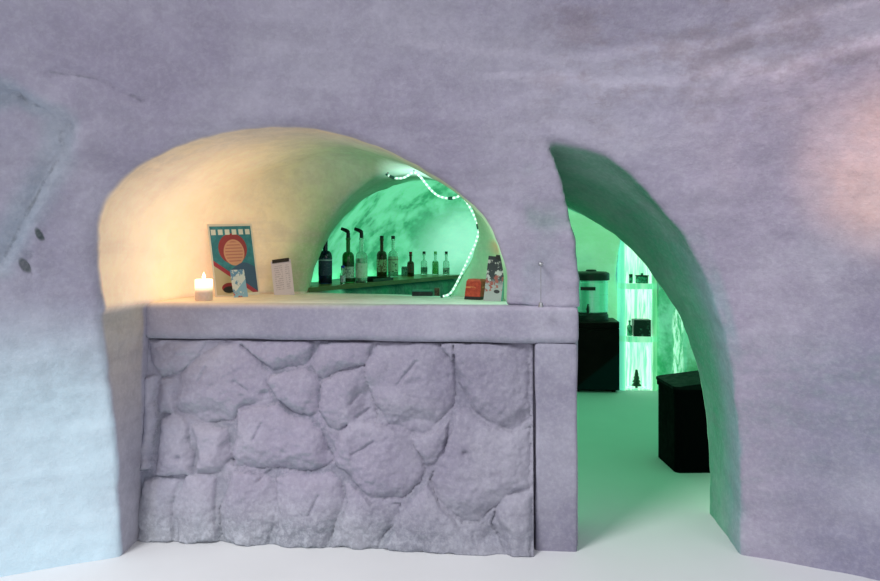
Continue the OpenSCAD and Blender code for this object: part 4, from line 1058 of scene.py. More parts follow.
def build_front():
    """The counter's front, carved as fitted boulders, on a closed plate."""
    step = 0.005
    x_axis = np.linspace(ALC_L + 0.002, POST_X - 0.002, int((POST_X - ALC_L) / step))
    z_axis = np.linspace(0, SLAB_Z - 0.002, int(SLAB_Z / step))
    nx, nz = len(x_axis), len(z_axis)
    x, z = (g.ravel() for g in np.meshgrid(x_axis, z_axis, indexing="ij"))
    outermost = np.interp(z, *zip(*FRONT_LEAN))
    spot = np.stack([x, 0 * x, z], 1)
    depth, joint = boulder_depth(x, z)
    y = outermost + 0.003 + depth
    y = y + 0.004 * noise(spot, 0.05, 21) + 0.0028 * noise(spot, 0.022, 22) + 0.0016 * noise(spot, 0.012, 24)
    foot = np.clip(1 - z / 0.07, 0, 1)
    y = y - foot ** 2 * 0.02 * (1 + noise(spot, 0.09, 23))
    y = np.clip(y, outermost + 0.0005, CORE_Y - 0.004)
    number = np.arange(nx * nz).reshape(nx, nz)
    faces = np.stack([number[:-1, :-1], number[1:, :-1], number[1:, 1:], number[:-1, 1:]], -1)
    faces = faces.reshape(-1, 4).tolist()
    ring = list(number[:, 0]) + list(number[-1, 1:]) + list(number[-2::-1, -1]) + list(number[0, -2:0:-1])
    points = np.stack([x, y, z], 1)
    back = points[ring].copy()
    back[:, 1] = CORE_Y - 0.001
    count = len(ring)
    behind = [nx * nz + i for i in range(count)]
    for i in range(count):
        j = (i + 1) % count
        faces.append([int(ring[j]), int(ring[i]), behind[i], behind[j]])
    faces.append(behind[::-1])
    mesh = new_mesh("boulder_front", (np.concatenate([points, back]) - (0, MID_Y, 0)).tolist(), faces)
    mesh.polygons.foreach_set("use_smooth", [True] * ((nx - 1) * (nz - 1)) + [False] * (count + 1))
    store(mesh, "joint", "FLOAT", "value", np.concatenate([joint, np.zeros(count)]).astype(np.float32))
    add_piece("boulder_front", mesh, carved_look, ["bar_front"])


def turned(name, profile, place, material, nodes=(), slot_name="clear_glass", sides=40, turn=None):
    """A closed turned form: profile is radius and height from the axis at the foot to the axis at the head."""
    points, faces, rings = [], [], []
    for r, h in profile:
        on_axis = r < 1e-6
        rings.append([len(points) + k for k in range(1 if on_axis else sides)])
        points += [(0, 0, h)] if on_axis else [(r * math.cos(a), r * math.sin(a), h) for a in angles(sides)]
    for low, high in zip(rings, rings[1:]):
        if len(low) == len(high) == 1:
            continue
        for k in range(sides):
            m = (k + 1) % sides
            if len(low) == 1:
                faces.append((low[0], high[m], high[k]))
            elif len(high) == 1:
                faces.append((low[k], low[m], high[0]))
            else:
                faces.append((low[k], low[m], high[m], high[k]))
    if turn is not None:
        points = [turn @ Vector(p) for p in points]
    points = [(p[0] + place[0], p[1] + place[1] - MID_Y, p[2] + place[2]) for p in points]
    return add_piece(name, new_mesh(name, points, faces, 38), material, list(nodes))


def on_board(s, w):
    """The place on the worktop that is s along its edge and w across it."""
    c, k = math.cos(EDGE_TURN), math.sin(EDGE_TURN)
    return (EDGE_A[0] + s * c - w * k, EDGE_A[1] + s * k + w * c, TOP_Z + BOARD_T + GAP)


def bottle_line(r, h, neck, wall=0.0, foot=0.0):
    """The bottle's outline, or its inside when wall and foot are given."""
    line = [(0, foot), (r - 0.004 - wall, foot), (r - 0.001 - wall, foot + 0.001), (r - wall, foot + 0.004),
            (r - wall, h * 0.56)]
    for i in range(1, 9):
        t = math.pi / 2 * i / 8
        line.append((neck - wall + (r - neck) * math.cos(t), h * 0.56 + h * 0.13 * math.sin(t)))
    return line + [(neck - wall, h - 0.014)]


def glass(name, color, rough=0.04):
    n = Nodes(name)
    dust = n.noise(40, 4, 0.6)
    return n.set(color=n.mix(dust, darker(color, 0.92), color), clear=0.9, ior=1.46,
                 rough=n.ramp(dust, 0.3, 0.8, rough, rough + 0.1))


def liquid(name, color):
    n = Nodes(name)
    return n.set(color=n.mix(n.noise(20, 3, 0.5), darker(color, 0.75), color), rough=0.05, clear=0.7, ior=1.34)


def paper(name, ground, print_color, size=90.0, share=0.5, band=None):
    """A label: paper fibre, a blotchy generic print and a plain band."""
    n = Nodes(name)
    fibre = n.noise(700, 2, 0.6)
    color = n.mix(n.ramp(n.noise(size, 3, 0.65), share, share + 0.03), ground, print_color)
    if band:
        low, high, tint = band
        color = n.mix(n.span(n.axis("Z"), low, low + 0.001, high - 0.001, high), color, tint)
    color = n.mix(n.ramp(fibre, 0.3, 0.8, 0.0, 0.12), color, (0.25, 0.25, 0.25))
    return n.set(color=color, rough=0.7, normal=n.bump(fibre, 0.15, 0.0004))


def moulded(name, color, rough=0.42, ior=1.46):
    """Moulded plastic: fine grain, faint scuffs and a painted highlight on upward faces."""
    n = Nodes(name)
    scuff = n.noise(22, 5, 0.65)
    # Lighter colour on upward faces: a painted highlight.
    tinted = n.coats(darker(color, 0.65), (n.ramp(scuff, 0.35, 0.7), color),
                     (n.ramp(n.upward("NewGeometry", "Normal"), 0.7, 0.95, 0.0, 0.5),
                      tuple(min(1, c * 2.5 + 0.002) for c in color)))
    return n.set(color=tinted, ior=ior, rough=n.ramp(scuff, 0.3, 0.75, rough - 0.08, rough + 0.14),
                 normal=n.bump(n.noise(900.0, 2, 0.6), 0.2, 0.0003))


def bottle(name, spot, size, look, drink=None, level=0.0, label=None, nodes=(), slot_name="clear_glass"):
    """A hollow bottle, with its drink up to a level and a label between two heights."""
    place = on_board(*spot)
    r, h, neck = size
    wall, foot = 0.0026, 0.006
    lip = neck + 0.0025
    outer = bottle_line(r, h, neck) + [(lip, h - 0.012), (lip, h - 0.002), (neck + 0.001, h)]
    inner = bottle_line(r, h, neck, wall, foot)
    turned(name, outer + [(neck - wall, h)] + inner[::-1], place, look, nodes, slot_name)
    if drink:
        line = [(max(0, a - 0.0003) if a else 0, b + 0.0003) for a, b in inner if b < level]
        edge = np.interp(level, [b for a, b in inner[4:]], [a for a, b in inner[4:]]) - 0.0003
        turned(name + "_drink", line + [(edge, level), (0, level)], place, drink, (), slot_name)
    if label:
        letter, low, high, *print_look = label
        band = [(r + 0.0002, low), (r + 0.0006, low + 0.0003), (r + 0.0006, high - 0.0003), (r + 0.0002, high)]
        turned(name + "_label", band + [band[0]], place, paper("label_" + letter, *print_look), (), slot_name)


CAP_SIDES = 48


def ribbed_cap(name, spot, z, r, h, look):
    """A screw cap with fine ribs round its wall and a rolled edge."""
    x, y, foot = on_board(*spot)
    rings = [(0.0, r - 0.0004), (0.0012, r), (h * 0.25, r), (h * 0.3, r - 0.0006), (h - 0.0015, r),
             (h, r - 0.0014)]
    points = []
    for level, reach in rings:
        for k, a in enumerate(angles(CAP_SIDES)):
            rib = 0.0005 if k % 2 and h * 0.27 < level < h - 0.001 else 0.0
            points.append((x + (reach - rib) * math.cos(a), y - MID_Y + (reach - rib) * math.sin(a),
                           foot + z + level))
    mesh = new_mesh(name, points, ring_faces(len(rings), CAP_SIDES), 30)
    add_piece(name, mesh, look, [])


def pourer(name, spot, z, r, look, nodes=()):
    """A cork with a bent spout that points to the left."""
    x, y, foot = on_board(*spot)
    cork = [(0, 0), (r - 0.001, 0), (r, 0.001), (r, 1.2 * r), (r - 0.0012, 1.3 * r), (r - 0.0004, 1.45 * r),
            (r, 2.0 * r), (r * 0.75, 2.7 * r), (0, 2.75 * r)]
    turned(name, cork, (x, y, foot + z), look, nodes, "black_plastic")
    bend = [(0, 2.4), (-0.001, 2.9), (-0.006, 3.3), (-0.016, 3.75), (-0.028, 4.15), (-0.044, 4.6)]
    path = [(x + a, y, foot + z + b * r) for a, b in bend]
    reach = [r * k for k in (0.80, 0.98, 1.02, 0.98, 0.90, 0.80)]
    tube(name + "_spout", smoothed(path, 4), reach, look)


def smoothed(path, parts):
    """A soft curve through the points."""
    pts = [Vector(p) for p in path]
    out = []
    for i in range(len(pts) - 1):
        a, b, c, d = pts[max(i - 1, 0)], pts[i], pts[i + 1], pts[min(i + 2, len(pts) - 1)]
        for k in range(parts):
            t = k / parts
            out.append(0.5 * ((2 * b) + (c - a) * t + (2 * a - 5 * b + 4 * c - d) * t * t
                              + (3 * b - a - 3 * c + d) * t ** 3))
    return out + [pts[-1]]


def tube(name, path, radii, look, sides=14, nodes=()):
    """A closed round tube along a path, with its own length stored at each point.
    The radii are spread evenly over the path."""
    path = [Vector(p) for p in path]
    count = len(path)
    reach = [radii[0]] * count
    if len(radii) > 1:
        reach = np.interp(np.linspace(0, 1, count), np.linspace(0, 1, len(radii)), radii)
    points, along = [], []
    gone = 0.0
    for i, p in enumerate(path):
        if i:
            gone += (p - path[i - 1]).length
        d = (path[min(i + 1, count - 1)] - path[max(i - 1, 0)]).normalized()
        u = d.cross(Vector((0, 1, 0))).normalized()
        v = d.cross(u)
        for a in angles(sides):
            q = p + float(reach[i]) * (math.cos(a) * u + math.sin(a) * v)
            points.append((q.x, q.y - MID_Y, q.z))
            along.append(gone)
    mesh = new_mesh(name, points, ring_faces(count, sides), 50)
    store(mesh, "along", "FLOAT", "value", along)
    return add_piece(name, mesh, look, list(nodes))


# The light rope's route, as in the part's source.
ROPE = [(-0.579, 0.540, 1.668), (-0.541, 0.529, 1.652), (-0.498, 0.516, 1.651), (-0.465, 0.506, 1.665),
        (-0.439, 0.498, 1.677), (-0.407, 0.487, 1.654), (-0.376, 0.477, 1.616), (-0.350, 0.470, 1.585),
        (-0.319, 0.460, 1.559), (-0.288, 0.448, 1.546), (-0.255, 0.436, 1.541), (-0.222, 0.421, 1.544),
        (-0.194, 0.411, 1.550), (-0.162, 0.406, 1.510), (-0.134, 0.398, 1.458), (-0.115, 0.391, 1.412),
        (-0.110, 0.389, 1.378), (-0.117, 0.390, 1.342), (-0.131, 0.395, 1.303), (-0.151, 0.401, 1.262),
        (-0.176, 0.408, 1.208), (-0.204, 0.417, 1.150), (-0.235, 0.425, 1.092), (-0.258, 0.430, 1.066),
        (-0.286, 0.434, 1.057)]
ROPE_PINS = (0, 4, 12)
ROPE_R = 0.0055


def build_rope():
    n = Nodes("rope")
    bead = n.math("ABSOLUTE", n.fract(n.stored("along") / 0.022) - 0.5)
    glow = n.mix(n.ramp(bead, 0.34, 0.08), (0.20, 0.75, 0.50), (0.80, 1.0, 0.90))
    power = n.ramp(bead, 0.4, 0.1, 0.75, 1.2) * n.ramp(n.axis("Z"), 1.2, 1.5, 0.8, 1.0)
    look = n.set(color=(0.75, 0.95, 0.86), rough=0.25, emit=glow, power=power, coat=0.5)
    dark = moulded("rope_plastic", (0.005, 0.14, 0.10), 0.35)
    path = smoothed(ROPE, 6)
    rope = tube("light_rope", path, [ROPE_R], look, 12, ["rope_light"])
    length = sum((b - a).length for a, b in zip(path, path[1:]))

    def sleeve(name, line, place, way):
        spin = way.to_track_quat("Z", "Y").to_matrix()
        turned(name, line, place, dark, (), "peg_metal", 20, spin)

    r = ROPE_R + 0.0004
    for number, (at, half) in enumerate(((4, 0.016), (61, 0.012), (92, 0.014))):
        line = [(r, -half), (r + 0.002, -half + 0.001), (r + 0.0026, -half * 0.4), (r + 0.0026, half * 0.4),
                (r + 0.002, half - 0.001), (r, half), (r, -half)]
        sleeve("rope_joint_%d" % number, line, path[at], (path[at + 1] - path[at - 1]).normalized())
    for number, (end, near) in enumerate(((path[0], path[1]), (path[-1], path[-2]))):
        line = [(0, 0.0005), (ROPE_R * 0.9, 0.0005), (r, 0.0005), (r, 0.010), (ROPE_R * 0.6, 0.014), (0, 0.015)]
        sleeve("rope_end_%d" % number, line, end + (end - near).normalized() * 0.0002, end - near)
    clip = brushed("clip_wire", (0.40, 0.41, 0.42))
    r = ROPE_R + 0.0014
    for pin in ROPE_PINS:
        x, y, z = ROPE[pin]
        loop = [(x, y + r * math.sin(t), z + r * math.cos(t)) for t in np.linspace(0, 2 * math.pi, 25)[:-1]]
        tube("rope_clip_%d" % pin, [(x, y, z + r + 0.004)] + loop + [loop[0]], [0.0009], clip,
                            8)


def brushed(name, color, rough=0.34):
    """Brushed metal: fine lines round or along it, with stains and small knocks."""
    n = Nodes(name)
    lines = n.noise(5, 3, 0.6, n.stretch(1.0, 1.0, 60.0))
    tinted = n.coats(darker(color, 0.75), (n.ramp(lines, 0.3, 0.7), color),
                     (n.ramp(n.noise(7, 5, 0.6), 0.55, 0.8, 0.0, 0.3), darker(color, 0.6)))
    return n.set(color=tinted, rough=n.ramp(lines, 0.25, 0.75, rough - 0.06, rough + 0.10), metal=1.0,
                 normal=n.bump(lines, 0.10, 0.0004))


def build_bottles():
    clear = glass("glass_clear", (0.88, 0.97, 0.92))
    green = glass("glass_green", (0.10, 0.32, 0.12))
    amber = glass("glass_brown", (0.20, 0.10, 0.03))
    navy = glass("glass_navy", (0.02, 0.03, 0.12), 0.1)
    clear_drink = liquid("drink_clear", (0.62, 0.85, 0.68))
    green_drink = liquid("drink_green", (0.10, 0.62, 0.06))
    dark_drink = liquid("drink_dark", (0.05, 0.16, 0.05))
    black = moulded("cap_black", (0.015, 0.015, 0.017), 0.35)
    red = moulded("cap_red", (0.45, 0.02, 0.03), 0.4)
    blue = moulded("cap_blue", (0.02, 0.04, 0.50), 0.4)
    light = moulded("cap_green", (0.25, 0.55, 0.20))
    # Radius, height and the neck's radius.
    tall, small = (0.037, 0.278, 0.01295), (0.0259, 0.165, 0.00999)
    spots = {"poured_1": (0.545, 0.102), "poured_2": (0.607, 0.045), "tall_1": (1.230, 0.296),
             "tall_2": (1.310, 0.250), "small_1": (1.770, 0.250), "small_2": (1.800, 0.165),
             "small_3": (1.830, 0.085), "small_4": (1.460, 0.190), "navy": (0.390, 0.160),
             "tiny": (0.430, 0.060)}
    # Size, glass, drink and its level, and the label: letter, foot, head, ground, print, blot size,
    # share and band.
    rows = {
        "poured_1": (tall, green, dark_drink, 0.13, ("a", 0.03, 0.1, (0.62, 0.66, 0.62), (0.2, 0.24, 0.22)),
                     ["clear_bottles"]),
        "poured_2": (tall, clear, clear_drink, 0.15,
                     ("b", 0.03, 0.12, (0.80, 0.83, 0.74), (0.55, 0.72, 0.50), 60, 0.55)),
        "tall_1": (tall, amber, None, 0.0, ("c", 0.04, 0.13, (0.55, 0.50, 0.34), (0.25, 0.06, 0.05))),
        "tall_2": (tall, clear, clear_drink, 0.12,
                   ("d", 0.04, 0.15, (0.72, 0.76, 0.62), (0.1, 0.12, 0.08), 45, 0.56,
                    (1.2, 1.206, (0.3, 0.05, 0.05)))),
        "small_1": (small, clear, clear_drink, 0.06, ("e", 0.02, 0.06, (0.15, 0.30, 0.22), (0.05, 0.12, 0.10))),
        "small_2": (small, clear, green_drink, 0.105),
        "small_3": (small, clear, clear_drink, 0.05,
                    ("f", 0.02, 0.055, (0.55, 0.62, 0.55), (0.06, 0.07, 0.10), 70)),
        "small_4": (small, amber, None, 0.0, ("g", 0.03, 0.09, (0.06, 0.07, 0.06), (0.24, 0.05, 0.04))),
        "navy": ((0.0407, 0.29, 0.0148), navy, None, 0.0,
                 ("h", 0.05, 0.155, (0.02, 0.035, 0.09), (0.2, 0.24, 0.3), 130, 0.6,
                  (1.215, 1.223, (0.45, 0.5, 0.58))), ["dark_bottle"], "dark_glass"),
        "tiny": ((0.01591, 0.095, 0.00888), clear, None, 0.0,
                 ("i", 0.012, 0.05, (0.75, 0.78, 0.80), (0.10, 0.14, 0.30), 160), (), "dark_glass"),
    }
    for name, row in rows.items():
        bottle("bottle_" + name, spots[name], *row)
    cap = tall[0] / 3
    tall_z, small_z = 0.2783, 0.1653
    pourer("pourer_1", spots["poured_1"], tall_z, cap, black, ["bottle_tops"])
    pourer("pourer_2", spots["poured_2"], tall_z, cap, black)
    # Cap, its bottle, its foot's height, its radius and height as shares of cap, and its look.
    for name, owner, z, wide, high, look in (
            ("tall_1", "tall_1", tall_z, 1.15, 1.8, black), ("tall_2", "tall_2", tall_z, 1.15, 1.8, black),
            ("small_0", "small_1", small_z, 1, 1.5, black), ("small_1", "small_2", small_z, 1, 1.5, light),
            ("small_2", "small_3", small_z, 1, 1.5, black), ("small_3", "small_4", small_z, 1, 1.5, red),
            ("navy", "navy", 0.2903, 1.4, 2, red), ("tiny", "tiny", 0.0953, 0.9, 1.15, blue)):
        ribbed_cap("cap_" + name, spots[owner], z, wide * cap, high * cap, look)
    jar_spot = (1.560, 0.290)
    line = [(0, 0), (0.033, 0), (0.035, 0.002)]
    for i in range(9):
        line += [(0.036, 0.005 + i * 0.006), (0.0346, 0.008 + i * 0.006)]
    line += [(0.036, 0.0595), (0.0345, 0.060), (0.0325, 0.060), (0.0325, 0.004), (0, 0.004)]
    turned("ribbed_jar", line, on_board(*jar_spot), glass("glass_jar", (0.45, 0.52, 0.50), 0.2))
    ribbed_cap("jar_lid", jar_spot, 0.0603, 0.034, 0.8 * cap, moulded("lid_grey", (0.3, 0.32, 0.32), 0.5))


def card_nodes(name, place, turn, lean, tip):
    """A leaning card's material, with the distances across and up the card."""
    n = Nodes(name)
    spin = (Matrix.Rotation(math.radians(turn), 3, "Z") @ Matrix.Rotation(math.radians(-lean), 3, "X")
            @ Matrix.Rotation(math.radians(tip), 3, "Y"))
    near = n.vector("SUBTRACT", n.place, (place[0], place[1] - MID_Y, TOP_Z + GAP))
    return n, n.dot(near, tuple(spin @ Vector((1, 0, 0)))), n.dot(near, tuple(spin @ Vector((0, 0, 1))))


def disc(n, u, v, cu, cv, r, tall=1.0):
    """One inside a round or flattened spot of a card, with a soft edge."""
    du, dv = u - cu, (v - cv) * tall
    return n.ramp(n.math("SQRT", du * du + dv * dv), r + 0.0015, r - 0.0015)


def finish_card(n, color, rough=0.45):
    fibre = n.noise(500, 3, 0.6)
    color = n.mix(n.ramp(fibre, 0.35, 0.8, 0.0, 0.10), color, (0.3, 0.3, 0.3))
    return n.set(color=color, rough=rough, normal=n.bump(fibre, 0.1, 0.0003))


def poster_look():
    """A made-up print: a red sun over hills, with a broken band along its head."""
    n, u, v = card_nodes("poster", (-1.342, 0.470), 50, 10, -2)
    slope = u * -0.75 + 0.095 - v
    hill = n.math("SINE", u * 30.0) * 0.02 + 0.15 - v
    edge = n.most(n.ramp(n.math("ABSOLUTE", u), 0.1155, 0.1165), n.ramp(v, 0.3625, 0.3635))
    color = n.mix(n.ramp(n.noise(30, 4, 0.6), 0.4, 0.7), (0.03, 0.19, 0.24), (0.05, 0.27, 0.32))
    return finish_card(n, n.coats(
        color, (disc(n, u, v, 0.0, 0.245, 0.08), (0.36, 0.035, 0.045)),
        (disc(n, u, v, 0.005, 0.225, 0.058, 0.85), (0.72, 0.33, 0.2)),
        (disc(n, u, v, 0.005, 0.225, 0.05, 0.85) * n.ramp(n.fract(v * 60.0), 0.62, 0.7), (0.55, 0.17, 0.12)),
        (n.between(v, 0.318, 0.346) * n.ramp(n.fract((u + 0.2) * 26.0), 0.3, 0.36), (0.8, 0.76, 0.66)),
        (n.ramp(hill, -0.001, 0.001), (0.05, 0.10, 0.20)), (n.ramp(slope, -0.001, 0.001), (0.62, 0.52, 0.34)),
        (n.between(slope, -0.006, 0.02), (0.42, 0.03, 0.06)),
        (disc(n, u, v, -0.045, 0.045, 0.04, 1.6), (0.3, 0.02, 0.04)),
        (disc(n, u, v, -0.045, 0.035, 0.034, 2.0), (0.02, 0.012, 0.02)),
        (n.most(edge, n.ramp(v, 0.0115, 0.0105)), (0.82, 0.72, 0.60))))


def small_card_look():
    n, u, v = card_nodes("small_print", (-1.290, 0.372), 58, 14, 0)
    blot = n.noise(26, 3, 0.6)
    return finish_card(n, n.coats(
        (0.78, 0.74, 0.74), (n.ramp(blot, 0.50, 0.56), (0.16, 0.30, 0.50)),
        (n.ramp(u * 0.9 + 0.055 - v, -0.001, 0.002), (0.3, 0.48, 0.66)),
        (n.ramp(blot, 0.6, 0.63) * n.ramp(v, 0.03, 0.02), (0.55, 0.16, 0.14)),
        (n.ramp(n.noise(60, 2, 0.5), 0.62, 0.66), (0.88, 0.8, 0.72))))


def menu_look():
    """White card with faint ruled marks in two columns."""
    n, u, v = card_nodes("menu", (-1.125, 0.545), 8, 12, -8)
    broken = n.noise(1.0, 2, 0.6, n.combine(u * 60.0, n.math("FLOOR", v * 88.0)))
    columns = n.most(n.between(u, -0.038, 0.004), n.between(u, 0.018, 0.040))
    marks = (n.ramp(n.fract(v * 88.0), 0.48, 0.58) * n.ramp(broken, 0.42, 0.5) * columns
             * n.between(v, 0.03, 0.158))
    return finish_card(n, n.mix(marks * 0.45, (0.66, 0.6, 0.66), (0.22, 0.18, 0.26)), 0.6)


def dark_card_look():
    n, u, v = card_nodes("dark_print", (-0.038, 0.244), -12, 8, 5)
    vein = n.noise(20, 5, 0.7)
    return finish_card(n, n.coats(
        (0.42, 0.44, 0.45), (n.ramp(v + vein * 0.12, 0.12, 0.17), (0.02, 0.035, 0.04)),
        (n.ramp(vein, 0.52, 0.56) * n.between(v, 0.07, 0.19), (0.6, 0.6, 0.6)),
        (n.ramp(n.noise(34, 3, 0.6), 0.56, 0.6) * n.between(v, 0.04, 0.12), (0.4, 0.1, 0.08)),
        (disc(n, u, v, 0.012, 0.045, 0.014, 1.6), (0.02, 0.02, 0.025)),
        (n.ramp(u, 0.036, 0.038), (0.05, 0.3, 0.2))))


def carton_look():
    n = Nodes("carton")
    z = n.axis("Z")
    worn = n.noise(70, 4, 0.65)
    color = n.coats((0.40, 0.035, 0.015), (n.ramp(worn, 0.35, 0.7), (0.58, 0.075, 0.03)),
                    (n.ramp(z, 1.066, 1.064), (0.01, 0.008, 0.01)),
                    (n.ramp(z, 1.136, 1.14, 0.0, 0.4), (0.7, 0.2, 0.1)),
                    (n.between(z, 1.105, 1.112) * n.ramp(n.noise(40, 2, 0.5), 0.5, 0.56), (0.75, 0.28, 0.10)))
    return n.set(color=color, rough=0.45, normal=n.bump(worn, 0.1, 0.0004))


def teal_look():
    """The flat case, with a pale print on its top, and the brown box at its end."""
    n = Nodes("flat_case")
    worn = n.noise(60, 4, 0.65)
    box = n.mix(n.ramp(worn, 0.4, 0.6), (0.03, 0.02, 0.008), (0.09, 0.055, 0.02))
    color = n.coats((0.002, 0.012, 0.010), (n.ramp(n.axis("Z"), 1.0700, 1.0725), (0.01, 0.16, 0.11)),
                    (n.ramp(n.axis("X"), -0.346, -0.343), box),
                    (n.ramp(worn, 0.5, 0.75, 0.0, 0.1), (0.3, 0.5, 0.4)))
    return n.set(color=color, rough=0.4, normal=n.bump(worn, 0.08, 0.0003))


def plywood_look():
    """Grained face veneer, stripes of plies along the edge, and stains."""
    n = Nodes("plywood")
    c, k = math.cos(EDGE_TURN), math.sin(EDGE_TURN)
    z = n.axis("Z")
    spot = n.combine(n.dot(n.place, (c, k, 0)) * 1.2, n.dot(n.place, (-k, c, 0)) * 16.0)
    grain, stain = n.noise(3.0, 6, 0.65, spot), n.noise(9, 4, 0.6)
    face = n.coats((0.20, 0.14, 0.04), (n.ramp(grain, 0.3, 0.7), (0.34, 0.27, 0.09)),
                   (n.ramp(n.noise(60.0, 3, 0.6, spot), 0.55, 0.75, 0.0, 0.35), (0.20, 0.13, 0.04)))
    ply = n.fract((z - TOP_Z) * (1 / PLY_T))
    side = n.mix(n.ramp(ply, 0.44, 0.56), (0.13, 0.11, 0.02), (0.05, 0.035, 0.01))
    color = n.coats(side, (n.ramp(z, TOP_Z + BOARD_T - 0.0012, TOP_Z + BOARD_T - 0.0004), face),
                    (n.ramp(stain, 0.52, 0.75, 0.0, 0.35), (0.12, 0.16, 0.06)))
    return n.set(color=color, rough=n.ramp(stain, 0.3, 0.7, 0.32, 0.55), normal=n.bump(grain, 0.12, 0.0006),
                 coat=0.15)


def ice_look():
    """Cloudy ice with lamps behind it: upright streaks, bubbles and darker edges."""
    n = Nodes("lit_ice")
    x, y, z = n.axis("X"), n.axis("Y"), n.axis("Z")
    streak = n.noise(9, 4, 0.6, n.stretch(5.0, 5.0, 0.35))
    bubbles = n.noise(120, 3, 0.6)
    right = n.mix(n.ramp(streak, 0.4, 0.6), (0.05, 0.30, 0.10), (0.14, 0.46, 0.20))
    shelf = n.most(n.between(z, 0.915, 0.965, 0.002), n.between(z, 0.440, 0.490, 0.002))
    glow = n.coats(
        (0.10, 0.56, 0.30), (n.ramp(streak, 0.42, 0.58), (0.80, 0.98, 0.84)),
        (n.ramp(n.noise(5, 2, 0.5, n.stretch(3.0, 3.0, 0.25)), 0.45, 0.60, 0.0, 0.5), (0.30, 0.80, 0.50)),
        (n.ramp(z, 0.95, 1.25, 0.0, 0.35), (0.80, 1.0, 0.90)),
        (n.ramp(x, NICHE_X + 0.11, NICHE_X + 0.125), right),
        (n.ramp(x, NICHE_X - 0.115, NICHE_X - 0.14), (0.12, 0.66, 0.44)),
        (shelf * n.ramp(y, NICHE_Y, NICHE_Y - 0.02) * 0.7, (0.1, 0.52, 0.26)))
    return n.set(color=(0.45, 0.75, 0.60), rough=n.ramp(bubbles, 0.3, 0.7, 0.12, 0.35), emit=glow, power=0.9,
                 normal=n.bump(bubbles, 0.2, 0.0008), ior=1.31)


def goods_look():
    """Metal pan and glass beaker above, dark case and small bottle below, artificial tree on the sill."""
    n = Nodes("shelf_goods")
    x, z = n.axis("X"), n.axis("Z")
    blot, needles = n.noise(24, 4, 0.65), n.noise(160, 3, 0.7)
    # The pan's green blotches are a painted reflection of the green-lit chamber.
    pan = n.coats((0.01, 0.10, 0.06), (n.ramp(blot, 0.42, 0.62), (0.10, 0.52, 0.34)),
                  (n.between(z, 1.026, 1.040), (0.005, 0.02, 0.015)))
    small_bottle = n.mix(n.ramp(blot, 0.45, 0.55), (0.02, 0.16, 0.10), (0.20, 0.60, 0.42))
    tree = n.mix(n.ramp(needles, 0.4, 0.65), (0.004, 0.03, 0.01), (0.02, 0.12, 0.05))
    color = n.coats((0.004, 0.006, 0.008), (n.ramp(blot, 0.60, 0.64), (0.10, 0.22, 0.18)),
                    (n.ramp(x, NICHE_X - 0.0505, NICHE_X - 0.0545), small_bottle), (n.ramp(z, 0.70, 0.72), pan),
                    (n.ramp(z, 0.30, 0.28), tree))
    return n.set(color=color, rough=0.4, normal=n.bump(needles, n.ramp(z, 0.30, 0.28, 0.05, 0.9), 0.004))


def cabinet_look(name, door):
    """Lacquered sheet, near black with a warm cast; on the door a painted teal reflection fills the corner
    below a slanting line.
    """
    n = Nodes(name)
    x, z = n.axis("X"), n.axis("Z")
    smear = n.noise(8, 5, 0.6)
    color = n.mix(n.ramp(smear, 0.35, 0.7), (0.0045, 0.0015, 0.002), (0.010, 0.003, 0.004))
    if door:
        # The door's teal corner is a painted reflection.
        color = n.mix(n.ramp((x - 0.6) * 0.83 - z, -0.01, 0.02), color, (0.002, 0.012, 0.016))
    color = n.mix(n.ramp(z, 0.618, 0.622), color, (0.03, 0.02, 0.02))
    return n.set(color=color, rough=n.ramp(smear, 0.3, 0.7, 0.34, 0.5), ior=1.15)


def urn_look():
    """Brushed steel with a painted reflection of the lit chamber as broad upright bands."""
    n = Nodes("urn_steel")
    bands = n.noise(1.6, 2, 0.5, n.stretch(7.0, 7.0, 0.15))
    lines = n.noise(4, 3, 0.6, n.stretch(1.0, 1.0, 90.0))
    color = n.coats((0.30, 0.90, 0.72), (n.ramp(bands, 0.35, 0.62), (0.80, 1.0, 1.0)),
                    (n.ramp(n.noise(18, 4, 0.6), 0.5, 0.8, 0.0, 0.25), (0.16, 0.44, 0.34)),
                    (n.ramp(lines, 0.3, 0.7, 0.0, 0.2), (0.8, 0.95, 0.88)))
    return n.set(color=color, rough=n.ramp(lines, 0.25, 0.75, 0.26, 0.42), metal=0.55,
                 normal=n.bump(lines, 0.08, 0.0003))


def wax_look():
    """Ivory wax with the flame's light painted in: a glow where the flame stands in its pool, lighter colour
    towards the top, pinkish below.
    """
    n = Nodes("wax")
    z = n.axis("Z")
    cloud = n.noise(60, 4, 0.6)
    # Lighter towards the top and glowing in the pool: the flame's light, painted in.
    color = n.coats((0.62, 0.48, 0.42), (n.ramp(z, 1.085, 1.125), (0.95, 0.84, 0.62)),
                    (n.ramp(cloud, 0.4, 0.7, 0.0, 0.15), (1.0, 0.95, 0.88)))
    glow = n.mix(n.ramp(z, 1.08, 1.125), (0.10, 0.055, 0.035), (1.0, 0.80, 0.46))
    return n.set(color=color, rough=0.38, emit=glow, power=n.ramp(z, 1.08, 1.135, 0.6, 2.6), under=0.2,
                 normal=n.bump(cloud, 0.1, 0.0006))


def flame_look():
    n = Nodes("flame")
    z = n.axis("Z")
    glow = n.coats((0.35, 0.20, 0.50), (n.ramp(z, 1.142, 1.156), (1.0, 0.80, 0.42)),
                   (n.ramp(z, 1.168, 1.184), (1.0, 0.52, 0.16)))
    return n.set(color=(1.0, 0.75, 0.35), rough=0.5, emit=glow,
                 power=n.ramp(n.noise(90, 2, 0.5), 0.3, 0.7, 6.0, 8.0))


